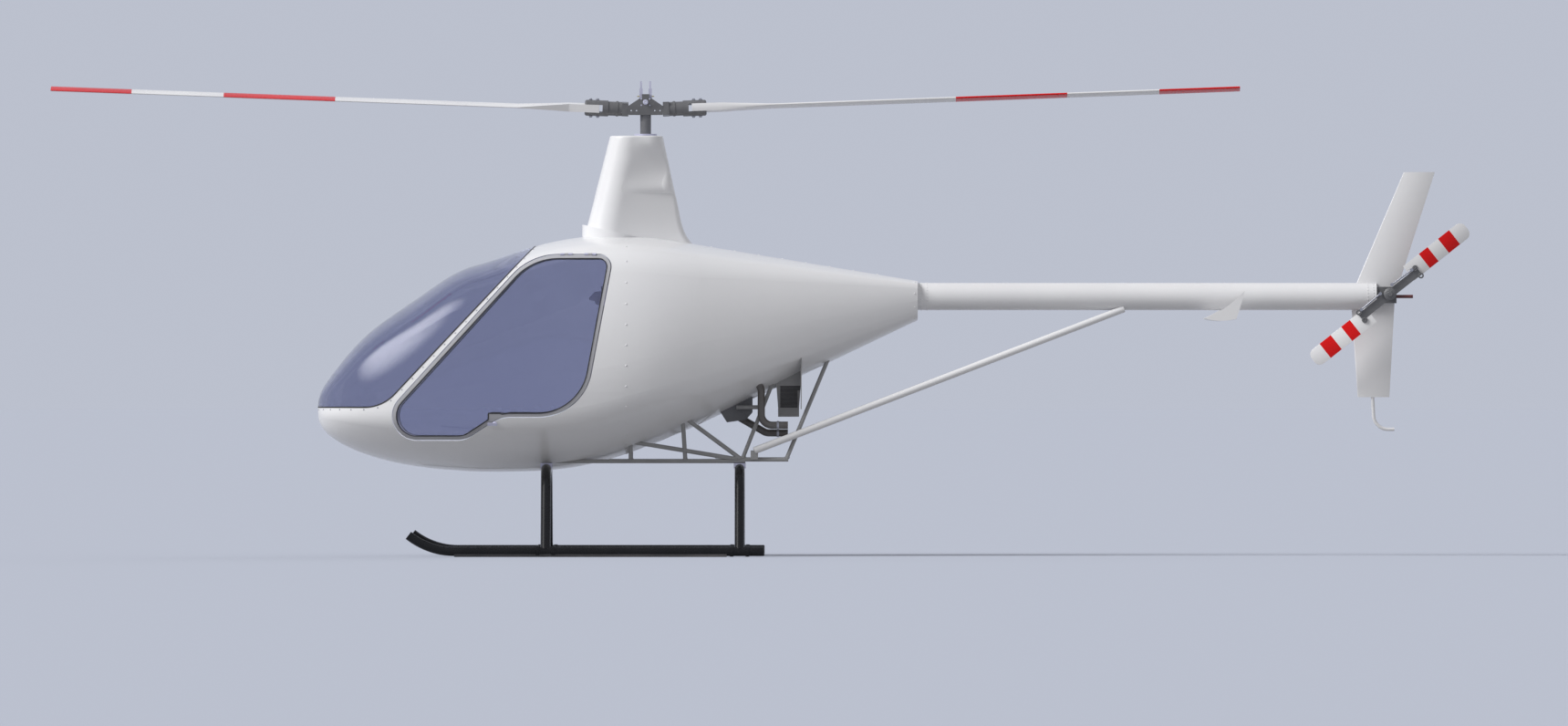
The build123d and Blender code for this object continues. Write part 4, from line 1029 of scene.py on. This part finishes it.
# plain sky; mirrors also see a soft bright patch of it round the direction of the sun
def makeSky():
    look = stageLook
    world = bpy.data.worlds.new("studioSky")
    world.use_nodes = True
    scene.world = world
    tree = world.node_tree
    seen, glossy = seenBlend(tree)
    place = addNode(tree, "TexCoord", {})["Generated"]
    sunWay = tuple(Vector(look["sunFrom"]).normalized())
    towards = addNode(tree, "VectorMath", {0: place, 1: sunWay}, operation="DOT_PRODUCT")["Value"]
    patch = addNode(tree, "MapRange", {"Value": towards, "From Min": look["patchEdge"], "From Max": 1.0},
                    interpolation_type="SMOOTHSTEP")["Result"]
    mirrored = addNode(tree, "Math", {0: patch, 1: glossy}, operation="MULTIPLY")["Value"]
    plain = mixColours(tree, seen, look["sky"], look["skySeen"])
    colour = mixColours(tree, mirrored, plain, look["softBox"])
    feed(tree, tree.nodes["Background"], {"Color": colour, "Strength": 1.0})


def makeSun(name, power, comesFrom):
    lamp = bpy.data.lights.new(name, "SUN")
    lamp.energy = power
    lamp.angle = math.radians(stageLook["sunAngle"])
    sun = bpy.data.objects.new(name, lamp)
    sun.rotation_mode = "QUATERNION"
    sun.rotation_quaternion = (-Vector(comesFrom)).to_track_quat("-Z", "Y")
    sun.visible_glossy = sun.visible_transmission = False
    scene.collection.objects.link(sun)


cameraLook = dict(lens=600.0, sensor=36.0, frameWidth=8.595, middleX=0.7585, middleZ=1.0575, clipNear=1.0,
                  clipFar=8)


# distance = width of the frame * lens / sensor
def makeCamera():
    look = cameraLook
    data = bpy.data.cameras.new("sideCamera")
    data.lens, data.sensor_width, data.sensor_fit = look["lens"], look["sensor"], "HORIZONTAL"
    away = look["frameWidth"] * look["lens"] / look["sensor"]
    data.clip_start, data.clip_end = look["clipNear"], away * look["clipFar"]
    camera = bpy.data.objects.new("sideCamera", data)
    camera.location = (mastX + look["middleX"], -away, look["middleZ"])
    camera.rotation_euler = (math.radians(90), 0, 0)
    scene.collection.objects.link(camera)
    scene.camera = camera


makeFloor()
makeSky()
makeSun("softSun", stageLook["sunPower"], stageLook["sunFrom"])
makeSun("fillSun", stageLook["fillPower"], stageLook["fillFrom"])
makeCamera()
scene.view_settings.view_transform = "Standard"
print("stage lit")
